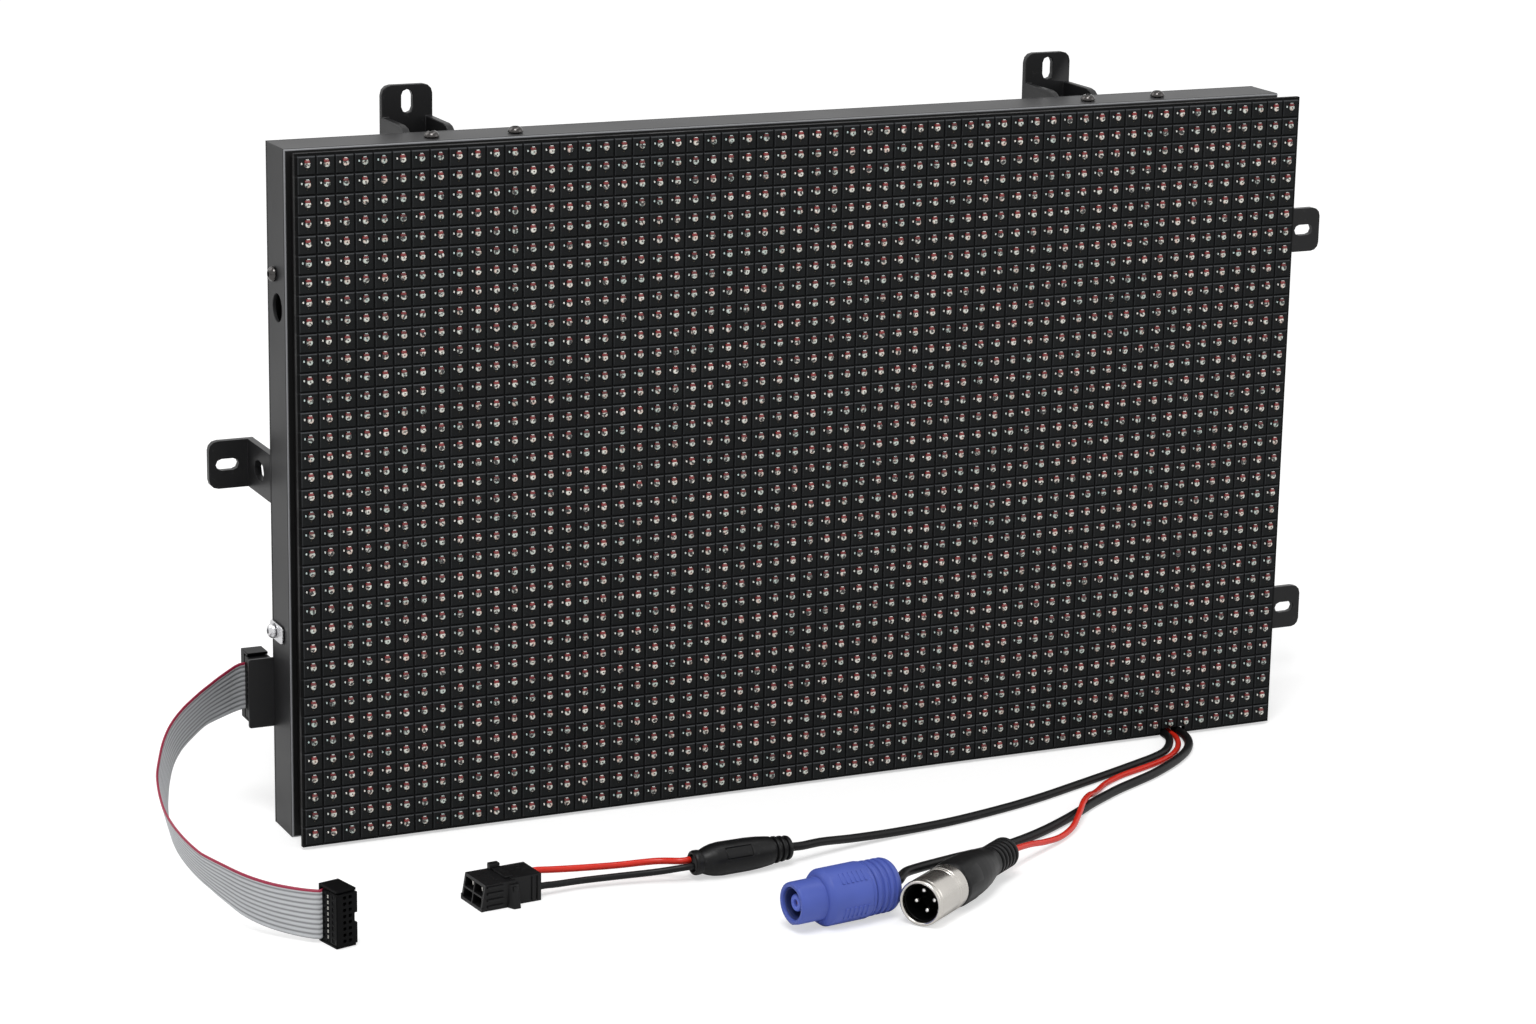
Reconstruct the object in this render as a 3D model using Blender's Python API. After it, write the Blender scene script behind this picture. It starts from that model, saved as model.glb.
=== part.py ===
"""RGB LED matrix panel: a shallow steel housing with one LED module set into its front, folded wall
brackets on the back, a ribbon data lead and three round leads that lie on the floor in front.

Metres, +Z up. The origin is the centre of the housing's bottom face, +X runs along the panel's width
and the LEDs face -Y.
"""

from math import cos, pi, radians, sin

import bmesh
import bpy
from mathutils import Matrix, Vector

MM = 0.001
GAP = 0.3 * MM

# LED field
PITCH = 8 * MM
COLUMNS = 58
ROWS = 36
FIELD_RISE = 2 * MM

# Module, from the front backwards
MASK_RIM = 0.8 * MM
MASK_THICKNESS = 3 * MM
TILE_CROWN = 0.7 * MM
BOARD_INSET = 3 * MM
BOARD_THICKNESS = 1.6 * MM
CARRIER_DEPTH = 11.5 * MM
CARRIER_RAIL = 12 * MM
CARRIER_RIB = 6 * MM
WINDOW_COLUMNS = 3
WINDOW_ROWS = 2
CHIP_SIZE = 9 * MM
CHIP_HEIGHT = 1.2 * MM
CHIP_COUNT = 3

# Housing
HOUSING_WIDTH = 464 * MM
HOUSING_HEIGHT = 290 * MM
HOUSING_DEPTH = 23 * MM
HOUSING_WALL = 1.5 * MM
HOUSING_LIP = 14 * MM
HOUSING_EDGE = 1 * MM
COVER_WALL = 1.2 * MM
COVER_FLANGE = 20.5 * MM
FRONT_FACE = -HOUSING_DEPTH / 2
BACK_FACE = HOUSING_DEPTH / 2

# Holes and outlets of the housing
SIDE_HOLE_RADIUS = 6 * MM
SIDE_HOLE_DEPTH = -1 * MM
SIDE_HOLE_HEIGHT = 223.5 * MM
FLANGE_NOTCH = 18 * MM
FLANGE_NOTCH_DEPTH = 16.5 * MM
OUTLET_X = 181.6 * MM
OUTLET_HEIGHT = 5.3 * MM
OUTLET_WIDTH = 13.6 * MM
OUTLET_TALL = 6 * MM
OUTLET_NOTCH = 12.8 * MM
OUTLET_NOTCH_TOP = 4.4 * MM
GROMMET_LIP = 1.7 * MM
GROMMET_COLLAR = 2.1 * MM

# Screws
SCREW_HEAD_RADIUS = 3.2 * MM
SCREW_HEAD_HEIGHT = 2.4 * MM
SCREW_SHANK_RADIUS = 1.5 * MM
SCREW_HOLE_RADIUS = 1.9 * MM
SCREW_BITE = 4.2 * MM
TOP_SCREW_LEFT_INSETS = (66 * MM, 102.5 * MM)
TOP_SCREW_RIGHT_INSETS = (92.5 * MM, 57.5 * MM)
TOP_SCREW_DEPTH = -3 * MM
SIDE_SCREW_DEPTH = 2 * MM
SIDE_SCREW_HEIGHT = 237 * MM

# Brackets
BRACKET_STAND_OFF = 33 * MM
BRACKET_THICKNESS = 3 * MM
BRACKET_FOOT = 23 * MM
SLOT_WIDTH = 5 * MM
SLOT_LENGTH = 10 * MM
TAB_CORNER = 4 * MM
TOP_BRACKET_LEFT_INSET = 71.5 * MM
TOP_BRACKET_RIGHT_INSET = 88.5 * MM
TOP_TAB_WIDTH = 22.5 * MM
TOP_TAB_RISE = 15 * MM
TOP_SLOT_RISE = 8 * MM
TOP_BRACKET_DROP = 28 * MM
TOP_CHEEK_RISE = 1.5 * MM
TOP_CHEEK_CORNER = 9 * MM
TOP_FOOT = 13 * MM
TOP_FOOT_SCREW_DROP = 15 * MM
SIDE_TAB_HEIGHT = 20.5 * MM
LEFT_BRACKET_HEIGHT = 149 * MM
LEFT_TAB_REACH = 17 * MM
LEFT_SLOT_REACH = 9 * MM
LEFT_WEB_HOLE_LENGTH = 12.5 * MM
LEFT_WEB_HOLE_WIDTH = 8.4 * MM
RIGHT_BRACKET_HEIGHTS = (215.5 * MM, 32 * MM)
RIGHT_TAB_REACH = 59.5 * MM
RIGHT_SLOT_REACH = 51 * MM

# Earth clip on the left wall
CLIP_LENGTH = 16 * MM
CLIP_WIDTH = 7.5 * MM
CLIP_THICKNESS = 0.8 * MM
CLIP_DEPTH = 3.4 * MM
CLIP_HEIGHT = 85.5 * MM
CLIP_SCREW_DEPTH = 6 * MM

# Ribbon lead and its two plugs; a plug's own front is its mating face
RIBBON_WIDTH = 20.3 * MM
RIBBON_THICKNESS = 1 * MM
PLUG_WIDTH = 9 * MM
PLUG_LENGTH = 27 * MM
PLUG_BODY_DEPTH = 8.3 * MM
PLUG_CAP_DEPTH = 4.4 * MM
PLUG_ARM = 1.1 * MM
PLUG_ARM_REACH = 9 * MM
CONTACT_PITCH = 2.54 * MM
CONTACT_HOLE = 1.1 * MM
CONTACT_FLOOR = 1.9 * MM
CONTACT_ROWS = 8
KEY_WIDTH = 4 * MM
KEY_DEPTH = 1.2 * MM
PANEL_PLUG_REACH = 4 * MM
PANEL_PLUG_HEIGHT = 57.5 * MM
HEADER_DEPTH = 2.4 * MM
EAR_REACH = 11 * MM
FREE_PLUG_X = -252.33 * MM
FREE_PLUG_FRONT = -141.2 * MM
FREE_PLUG_LENGTH = 20.9 * MM
FREE_PLUG_TURN = radians(14)
FREE_BODY_DEPTH = 5.6 * MM
FREE_CAP_DEPTH = 4.5 * MM
FREE_ARM_REACH = 12.6 * MM
RELIEF_THICKNESS = 1.2 * MM
RELIEF_GAP = 0.5 * MM
PLUG_END = GAP + PLUG_ARM
PLUG_HALF_LENGTH = PLUG_LENGTH / 2 + PLUG_END
FREE_HALF_LENGTH = FREE_PLUG_LENGTH / 2 + PLUG_END

# Round leads
POWER_LEAD_RADIUS = 2 * MM
DC_LEAD_RADIUS = 1.8 * MM
SIGNAL_LEAD_RADIUS = 1.3 * MM
DC_WIRE_RADIUS = 1.4 * MM

# Plugs that lie on the floor
POWER_PLUG_RADIUS = 11.6 * MM
POWER_PLUG_LENGTH = 47 * MM
POWER_NUT_LENGTH = 13 * MM
POWER_NOSE_RADIUS = 8.6 * MM
POWER_NOSE_LENGTH = 12 * MM
POWER_SOCKET_RADIUS = 6.7 * MM
POWER_SOCKET_DEPTH = 11 * MM
POWER_POST_RADIUS = 3.1 * MM
POWER_GRIP_FLUTES = 6
POWER_PLUG_REAR = Vector((-39.6 * MM, -183.1 * MM, POWER_PLUG_RADIUS))
POWER_PLUG_TURN = radians(188)
SIGNAL_PLUG_RADIUS = 9.6 * MM
SIGNAL_SHELL_LENGTH = 24 * MM
SIGNAL_SHELL_WALL = 1.3 * MM
SIGNAL_CAVITY_DEPTH = 14 * MM
SIGNAL_INSERT_DEPTH = 6 * MM
SIGNAL_PIN_RADIUS = 1.2 * MM
SIGNAL_PIN_LENGTH = 9.5 * MM
SIGNAL_PIN_CIRCLE = 4.2 * MM
SIGNAL_PIN_COUNT = 4
SIGNAL_PIN_TURN = radians(12)
SIGNAL_BOOT_LENGTH = 49.6 * MM
SIGNAL_BOOT_END = 6.5 * MM
SIGNAL_PLUG_REAR = Vector((24 * MM, -162.3 * MM, SIGNAL_PLUG_RADIUS))
SIGNAL_PLUG_TURN = radians(214.4)
SPLITTER_RADIUS = 7 * MM
SPLITTER_LENGTH = 45 * MM
SPLITTER_END = 5 * MM
SPLITTER_REAR = Vector((-53 * MM, -117.4 * MM, SPLITTER_RADIUS))
SPLITTER_TURN = radians(183.6)
DC_PLUG_LENGTH = 27.5 * MM
DC_PLUG_WIDTH = 18 * MM
DC_PLUG_HEIGHT = 11.5 * MM
DC_PLUG_REAR = Vector((-164.3 * MM, -112 * MM, 0))
DC_PLUG_TURN = radians(186)

# Inside the housing
SUPPLY_SIZE = (150 * MM, 14 * MM, 92 * MM)
SUPPLY_PLACE = (-92 * MM, 160 * MM)
CARD_SIZE = (118 * MM, 1.6 * MM, 66 * MM)
CARD_PLACE = (96 * MM, 160 * MM)
CARD_POST_HEIGHT = 5 * MM
CARD_POST_RADIUS = 3 * MM

ROUND_SIDES = 18
SMALL_ROUND_SIDES = 10
HOLE_SIDES = 8

HALF_HOUSING = HOUSING_WIDTH / 2
TOP_SCREW_X = [inset - HALF_HOUSING for inset in TOP_SCREW_LEFT_INSETS]
TOP_SCREW_X += [HALF_HOUSING - inset for inset in TOP_SCREW_RIGHT_INSETS]
TOP_BRACKET_X = (TOP_BRACKET_LEFT_INSET - HALF_HOUSING, HALF_HOUSING - TOP_BRACKET_RIGHT_INSET)
PANEL_PLUG_X = -HALF_HOUSING - PANEL_PLUG_REACH
FIELD_WIDTH = COLUMNS * PITCH
FIELD_HEIGHT = ROWS * PITCH
FIELD_MIDDLE = FIELD_RISE + FIELD_HEIGHT / 2
CARRIER_BACK = FRONT_FACE - GAP
CARRIER_FRONT = CARRIER_BACK - CARRIER_DEPTH
BOARD_BACK = CARRIER_FRONT - GAP
BOARD_FRONT = BOARD_BACK - BOARD_THICKNESS
MASK_BACK = BOARD_FRONT - GAP
MASK_FRONT = MASK_BACK - MASK_THICKNESS
CARRIER_WIDTH = FIELD_WIDTH - 2 * BOARD_INSET
CARRIER_HEIGHT = FIELD_HEIGHT - 2 * BOARD_INSET
COVER_FRONT = BACK_FACE - COVER_WALL
BRACKET_FACE = BACK_FACE + GAP
TAB_FRONT = BACK_FACE + BRACKET_STAND_OFF - BRACKET_THICKNESS
TAB_BACK = BACK_FACE + BRACKET_STAND_OFF


def clear_scene():
    for old in list(bpy.data.objects):
        bpy.data.objects.remove(old, do_unlink=True)


def finish(name, colour, roughness, metallic=0.0):
    """A Principled material."""
    material = bpy.data.materials.new(name)
    material.use_nodes = True
    shader = material.node_tree.nodes["Principled BSDF"]
    shader.inputs["Base Color"].default_value = (*colour, 1)
    shader.inputs["Roughness"].default_value = roughness
    shader.inputs["Metallic"].default_value = metallic
    return material


def add(name, bm, material, smooth=False):
    """Links a bmesh as a named object with its own copy of a material."""
    bmesh.ops.recalc_face_normals(bm, faces=bm.faces)
    mesh = bpy.data.meshes.new(name)
    bm.to_mesh(mesh)
    bm.free()
    thing = bpy.data.objects.new(name, mesh)
    bpy.context.scene.collection.objects.link(thing)
    if material:
        own = material.copy()
        own.name = name
        mesh.materials.append(own)
    if smooth:
        mesh.shade_smooth()
        mesh.set_sharp_from_angle(angle=radians(35))
    return thing


def combine(target, tool, operation="DIFFERENCE"):
    """Adds a Boolean modifier and hides its tool."""
    tool.hide_render = True
    tool.display_type = "WIRE"
    modifier = target.modifiers.new(tool.name, "BOOLEAN")
    modifier.operation = operation
    modifier.solver = "EXACT"
    modifier.object = tool
    return target


def box(low, high, bm=None):
    """A box between two corners, in a new or a given bmesh."""
    bm = bm or bmesh.new()
    low, high = Vector(low), Vector(high)
    place = Matrix.Translation((low + high) / 2) @ Matrix.Diagonal((*(high - low), 1))
    bmesh.ops.create_cube(bm, size=1, matrix=place)
    return bm


def tool_box(name, low, high):
    return add(name, box(low, high), None)


AXES = {
    "X": (Vector((0, 1, 0)), Vector((0, 0, 1)), Vector((1, 0, 0))),
    "Y": (Vector((1, 0, 0)), Vector((0, 0, 1)), Vector((0, 1, 0))),
    "Z": (Vector((1, 0, 0)), Vector((0, 1, 0)), Vector((0, 0, 1))),
}


def prism(outline, axis, start, end, bm=None):
    """An outline in the plane across an axis, extruded along it from start to end."""
    bm = bm or bmesh.new()
    across, up, along = AXES[axis]
    corners = [bm.verts.new(across * u + up * v + along * start) for u, v in outline]
    face = bm.faces.new(corners)
    grown = bmesh.ops.extrude_face_region(bm, geom=[face])
    moved = [item for item in grown["geom"] if isinstance(item, bmesh.types.BMVert)]
    bmesh.ops.translate(bm, verts=moved, vec=along * (end - start))
    return bm


def arc(centre, radius, start, end, steps):
    """Points along an arc, both ends included, with the angles in degrees."""
    angles = [radians(start + (end - start) * i / steps) for i in range(steps + 1)]
    return [(centre[0] + radius * cos(a), centre[1] + radius * sin(a)) for a in angles]


def circle(centre, radius, sides=HOLE_SIDES):
    return arc(centre, radius, 0, 360 - 360 / sides, sides - 1)


def slot(centre, length, width, upright=False, steps=4):
    """The outline of a hole with round ends."""
    half = (length - width) / 2
    du, dv = (0, half) if upright else (half, 0)
    turn = 0 if upright else -90
    first = arc((centre[0] + du, centre[1] + dv), width / 2, turn, turn + 180, steps)
    last = arc((centre[0] - du, centre[1] - dv), width / 2, turn + 180, turn + 360, steps)
    return first + last


def rounded(low, high, radius, steps=3):
    """A rectangle's outline with round corners."""
    (u0, v0), (u1, v1) = low, high
    return (
        arc((u1 - radius, v1 - radius), radius, 0, 90, steps)
        + arc((u0 + radius, v1 - radius), radius, 90, 180, steps)
        + arc((u0 + radius, v0 + radius), radius, 180, 270, steps)
        + arc((u1 - radius, v0 + radius), radius, 270, 360, steps)
    )


def turned(profile, sides=ROUND_SIDES, bm=None):
    """Spins (distance along, radius) points round the X axis. Both ends lie on the axis."""
    bm = bm or bmesh.new()
    points = [bm.verts.new((s, 0, r)) for s, r in profile]
    edges = [bm.edges.new(pair) for pair in zip(points, points[1:])]
    bmesh.ops.spin(
        bm, geom=points + edges, cent=(0, 0, 0), axis=(1, 0, 0), angle=2 * pi, steps=sides, use_merge=True
    )
    bmesh.ops.remove_doubles(bm, verts=bm.verts, dist=0.00001)
    return bm


def laid(thing, rear, turn):
    """Places a plug that was modelled from its cable end along its own X axis."""
    thing.location = rear
    thing.rotation_euler = (0, 0, turn)
    return thing


def smooth_route(route, spacing):
    """Evenly spaced points on a Catmull-Rom curve through a route's own points."""
    ends = [2 * route[0] - route[1], *route, 2 * route[-1] - route[-2]]
    fine = [route[0]]
    for a, b, c, d in zip(ends, ends[1:], ends[2:], ends[3:]):
        for i in range(1, 13):
            t = i / 12
            curve = 2 * b + (c - a) * t + (2 * a - 5 * b + 4 * c - d) * t**2 + (3 * b - 3 * c + d - a) * t**3
            fine.append(curve / 2)
    lengths = [0.0]
    for a, b in zip(fine, fine[1:]):
        lengths.append(lengths[-1] + (b - a).length)
    count = max(2, round(lengths[-1] / spacing))
    points = []
    k = 0
    for i in range(count + 1):
        goal = lengths[-1] * i / count
        while k < len(fine) - 2 and lengths[k + 1] < goal:
            k += 1
        points.append(fine[k].lerp(fine[k + 1], (goal - lengths[k]) / (lengths[k + 1] - lengths[k])))
    return points


def in_mm(*points):
    return [Vector(point) * MM for point in points]


def round_lead(name, route, radius, material, resolution=2):
    """A lead as a curve object with a round bevel and filled caps."""
    curve = bpy.data.curves.new(name, "CURVE")
    curve.dimensions = "3D"
    curve.bevel_depth = radius
    curve.bevel_resolution = resolution
    curve.use_fill_caps = True
    points = smooth_route(route, 6 * radius)
    points.insert(1, route[0] + (route[1] - route[0]).normalized() * radius)
    points.insert(-1, route[-1] + (route[-2] - route[-1]).normalized() * radius)
    spline = curve.splines.new("POLY")
    spline.points.add(len(points) - 1)
    for target, point in zip(spline.points, points):
        target.co = (*point, 1)
    own = material.copy()
    own.name = name
    curve.materials.append(own)
    lead = bpy.data.objects.new(name, curve)
    bpy.context.scene.collection.objects.link(lead)
    return lead


# Materials
clear_scene()
mask_plastic = finish("mask_plastic", (0.018, 0.018, 0.02), 0.55)
board_green = finish("board_green", (0.02, 0.09, 0.05), 0.5)
carrier_plastic = finish("carrier_plastic", (0.02, 0.02, 0.021), 0.5)
powder_coat = finish("powder_coat", (0.03, 0.03, 0.032), 0.45, 0.3)
bracket_steel = finish("bracket_steel", (0.016, 0.016, 0.018), 0.4, 0.3)
black_screw = finish("black_screw", (0.05, 0.045, 0.04), 0.2, 1.0)
bright_tin = finish("bright_tin", (0.75, 0.75, 0.76), 0.25, 1.0)
nickel = finish("nickel", (0.62, 0.6, 0.57), 0.28, 1.0)
plug_plastic = finish("plug_plastic", (0.014, 0.014, 0.015), 0.4)
cable_rubber = finish("cable_rubber", (0.02, 0.02, 0.021), 0.5)
red_sheath = finish("red_sheath", (0.72, 0.06, 0.03), 0.4)
ribbon_grey = finish("ribbon_grey", (0.6, 0.61, 0.62), 0.45)
plug_blue = finish("plug_blue", (0.1, 0.13, 0.5), 0.42)


def front_mask():
    """One low pyramid for each LED, with V-grooves between them, on a plate with a thin rim."""
    bm = bmesh.new()
    bmesh.ops.create_grid(bm, x_segments=COLUMNS, y_segments=ROWS, size=0.5)
    bmesh.ops.scale(bm, verts=bm.verts, vec=(FIELD_WIDTH, FIELD_HEIGHT, 1))
    bmesh.ops.rotate(bm, verts=bm.verts, cent=(0, 0, 0), matrix=Matrix.Rotation(pi / 2, 3, "X"))
    bmesh.ops.translate(bm, verts=bm.verts, vec=(0, MASK_FRONT + TILE_CROWN, FIELD_MIDDLE))
    edge = [e for e in bm.edges if e.is_boundary]
    bmesh.ops.poke(bm, faces=bm.faces[:], offset=TILE_CROWN)
    half, low, high = FIELD_WIDTH / 2 + MASK_RIM, FIELD_RISE - MASK_RIM, FIELD_RISE + FIELD_HEIGHT + MASK_RIM
    outline = [(-half, low), (half, low), (half, high), (-half, high)]
    rings = []
    for depth in (MASK_FRONT + TILE_CROWN, MASK_BACK):
        corners = [bm.verts.new((x, depth, z)) for x, z in outline]
        rings.append([bm.edges.new((corners[i - 1], corners[i])) for i in range(4)])
    bmesh.ops.triangle_fill(bm, use_beauty=True, edges=edge + rings[0])
    bmesh.ops.bridge_loops(bm, edges=rings[0] + rings[1])
    bmesh.ops.edgeloop_fill(bm, edges=rings[1])
    mask = add("front_mask", bm, mask_plastic)
    left = OUTLET_X - OUTLET_NOTCH / 2
    right = left + OUTLET_NOTCH
    notch = tool_box("mask_notch", (left, MASK_FRONT - MM, -MM), (right, MASK_BACK + MM, OUTLET_NOTCH_TOP))
    return combine(mask, notch)


def window_spans(size, count):
    """The spans between a carrier's rails and ribs, along one side."""
    inner = size - 2 * CARRIER_RAIL
    width = (inner - (count - 1) * CARRIER_RIB) / count
    return [(-inner / 2 + i * (width + CARRIER_RIB), width) for i in range(count)]


def windows():
    """(x, z, width, height) of each window of the module carrier."""
    return [
        (x, z + FIELD_MIDDLE, width, height)
        for x, width in window_spans(CARRIER_WIDTH, WINDOW_COLUMNS)
        for z, height in window_spans(CARRIER_HEIGHT, WINDOW_ROWS)
    ]


def led_board():
    """The circuit board, with its driver chips on the back in the carrier's windows."""
    half_width, half_height = CARRIER_WIDTH / 2, CARRIER_HEIGHT / 2
    low, high = FIELD_MIDDLE - half_height, FIELD_MIDDLE + half_height
    board = box((-half_width, BOARD_FRONT, low), (half_width, BOARD_BACK, high))
    board = add("led_board", board, board_green)
    chips = bmesh.new()
    for x, z, width, height in windows():
        for i in range(CHIP_COUNT):
            left = x + width * (i + 1) / (CHIP_COUNT + 1) - CHIP_SIZE / 2
            base = z + height / 2 - CHIP_SIZE / 2
            corner = (left + CHIP_SIZE, BOARD_BACK + CHIP_HEIGHT, base + CHIP_SIZE)
            box((left, BOARD_BACK - GAP, base), corner, chips)
    return combine(board, add("driver_chips", chips, None), "UNION")


def module_carrier():
    """The moulded frame behind the board: four rails and a lattice of ribs."""
    half_width, half_height = CARRIER_WIDTH / 2, CARRIER_HEIGHT / 2
    low = (-half_width, CARRIER_FRONT, FIELD_MIDDLE - half_height)
    high = (half_width, CARRIER_BACK, FIELD_MIDDLE + half_height)
    carrier = add("module_carrier", box(low, high), carrier_plastic)
    holes = bmesh.new()
    for x, z, width, height in windows():
        box((x, CARRIER_FRONT - MM, z), (x + width, CARRIER_BACK + MM, z + height), holes)
    combine(carrier, add("carrier_windows", holes, None))
    half = OUTLET_WIDTH / 2 + GROMMET_LIP + MM
    top = OUTLET_HEIGHT + OUTLET_TALL / 2 + GROMMET_LIP + MM
    low, high = (OUTLET_X - half, CARRIER_FRONT - MM, -MM), (OUTLET_X + half, CARRIER_BACK + MM, top)
    notch = tool_box("carrier_notch", low, high)
    return combine(carrier, notch)


def screw_holes():
    """Cutters for the screws through the top walls and the left walls, and for the round cable hole."""
    holes = bmesh.new()
    top = HOUSING_HEIGHT
    for x in TOP_SCREW_X:
        prism(circle((x, TOP_SCREW_DEPTH), SCREW_HOLE_RADIUS), "Z", top - 4 * MM, top + MM, holes)
    left = -HOUSING_WIDTH / 2
    side = [
        circle((SIDE_SCREW_DEPTH, SIDE_SCREW_HEIGHT), SCREW_HOLE_RADIUS),
        circle((CLIP_SCREW_DEPTH, CLIP_HEIGHT), SCREW_HOLE_RADIUS),
        circle((SIDE_HOLE_DEPTH, SIDE_HOLE_HEIGHT), SIDE_HOLE_RADIUS, ROUND_SIDES),
    ]
    for outline in side:
        prism(outline, "X", left - MM, left + 4 * MM, holes)
    return add("wall_holes", holes, None)


def housing_frame(holes):
    """The folded steel frame: four walls and a lip round the front."""
    half, top = HOUSING_WIDTH / 2, HOUSING_HEIGHT
    bm = box((-half, FRONT_FACE, 0), (half, COVER_FRONT - GAP, top))
    spans = [(edge, edge.verts[0].co - edge.verts[1].co) for edge in bm.edges]
    across = [edge for edge, span in spans if max(abs(span.x), abs(span.z)) > MM]
    front = [e for e in across if all(v.co.y < 0 for v in e.verts)]
    bmesh.ops.bevel(bm, geom=front, affect="EDGES", offset=HOUSING_EDGE, segments=2, profile=0.5, material=-1)
    frame = add("housing_frame", bm, powder_coat, smooth=True)
    wall, lip = HOUSING_WALL, HOUSING_LIP
    hollow = box((wall - half, FRONT_FACE + wall, wall), (half - wall, BACK_FACE + MM, top - wall))
    combine(frame, add("frame_hollow", hollow, None))
    window = box((lip - half, FRONT_FACE - MM, lip), (half - lip, FRONT_FACE + wall + MM, top - lip))
    combine(frame, add("frame_window", window, None))
    outlet = slot((OUTLET_X, OUTLET_HEIGHT), OUTLET_WIDTH + 2 * GAP, OUTLET_TALL + 2 * GAP)
    combine(frame, add("frame_outlet", prism(outlet, "Y", FRONT_FACE - MM, FRONT_FACE + wall + MM), None))
    return combine(frame, holes)


def rear_cover(holes, bracket_holes):
    """The back plate with its folded flange inside the frame, and the ear that carries the data header."""
    half, top = HOUSING_WIDTH / 2, HOUSING_HEIGHT
    inside = HOUSING_WALL + GAP
    cover = add("rear_cover", box((-half, COVER_FRONT, 0), (half, BACK_FACE, top)), powder_coat)
    low = (inside - half, BACK_FACE - COVER_FLANGE, inside)
    high = (half - inside, COVER_FRONT + COVER_WALL / 2, top - inside)
    combine(cover, tool_box("cover_flange", low, high), "UNION")
    low = (low[0] + COVER_WALL, low[1] - MM, low[2] + COVER_WALL)
    high = (high[0] - COVER_WALL, COVER_FRONT, high[2] - COVER_WALL)
    combine(cover, tool_box("cover_hollow", low, high))
    notch_low = SIDE_HOLE_HEIGHT - FLANGE_NOTCH / 2
    notch_back = BACK_FACE - COVER_FLANGE + FLANGE_NOTCH_DEPTH
    low = (-half, FRONT_FACE, notch_low)
    high = (2 * COVER_WALL + inside - half, notch_back, notch_low + FLANGE_NOTCH)
    combine(cover, tool_box("cover_notch", low, high))
    ear = rounded(
        (-half - EAR_REACH, PANEL_PLUG_HEIGHT - PLUG_HALF_LENGTH),
        (MM - half, PANEL_PLUG_HEIGHT + PLUG_HALF_LENGTH),
        0.8 * MM,
        2,
    )
    combine(cover, add("cover_ear", prism(ear, "Y", COVER_FRONT, BACK_FACE), None), "UNION")
    combine(cover, holes)
    return combine(cover, bracket_holes)


def screw(name, place, out):
    """A pan-head screw whose head sits on a face at place and points out."""
    head = SCREW_HEAD_RADIUS
    tall = SCREW_HEAD_HEIGHT
    profile = [(-SCREW_BITE, 0), (-SCREW_BITE, SCREW_SHANK_RADIUS), (0, SCREW_SHANK_RADIUS), (0, head)]
    profile += [(tall * 0.45, head * 0.96), (tall * 0.9, head * 0.6), (tall, 0)]
    thing = add(name, turned(profile, SMALL_ROUND_SIDES), black_screw, smooth=True)
    thing.location = Vector(place) + Vector(out) * GAP
    thing.rotation_euler = Vector((1, 0, 0)).rotation_difference(Vector(out)).to_euler()
    return thing


def wall_screws():
    for i, x in enumerate(TOP_SCREW_X):
        screw(f"frame_top_screw_{i + 1}", (x, TOP_SCREW_DEPTH, HOUSING_HEIGHT), (0, 0, 1))
    screw("frame_side_screw", (-HOUSING_WIDTH / 2, SIDE_SCREW_DEPTH, SIDE_SCREW_HEIGHT), (-1, 0, 0))


def bracket_screw_places():
    """(bracket name, x, z) of each screw through a bracket's foot."""
    places = []
    for side, x in zip(("left", "right"), TOP_BRACKET_X):
        reach = TOP_TAB_WIDTH / 2 + TOP_FOOT / 2
        for dx in (-reach, reach):
            places.append((f"top_{side}", x + dx, HOUSING_HEIGHT - TOP_FOOT_SCREW_DROP))
    inner = HOUSING_WIDTH / 2 - BRACKET_THICKNESS - BRACKET_FOOT / 2
    for dz in (-SIDE_TAB_HEIGHT / 4, SIDE_TAB_HEIGHT / 4):
        places.append(("left", -inner, LEFT_BRACKET_HEIGHT + dz))
        for side, z in zip(("right_upper", "right_lower"), RIGHT_BRACKET_HEIGHTS):
            places.append((side, inner, z + dz))
    return places


def bracket_holes():
    holes = bmesh.new()
    for _, x, z in bracket_screw_places():
        back = BRACKET_FACE + BRACKET_THICKNESS + MM
        prism(circle((x, z), SCREW_HOLE_RADIUS), "Y", COVER_FRONT - MM, back, holes)
    return add("bracket_screw_holes", holes, None)


def bracket_screws():
    counts = {}
    for side, x, z in bracket_screw_places():
        counts[side] = counts.get(side, 0) + 1
        place = (x, BRACKET_FACE + BRACKET_THICKNESS, z)
        screw(f"bracket_screw_{side}_{counts[side]}", place, (0, 1, 0))


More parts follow.
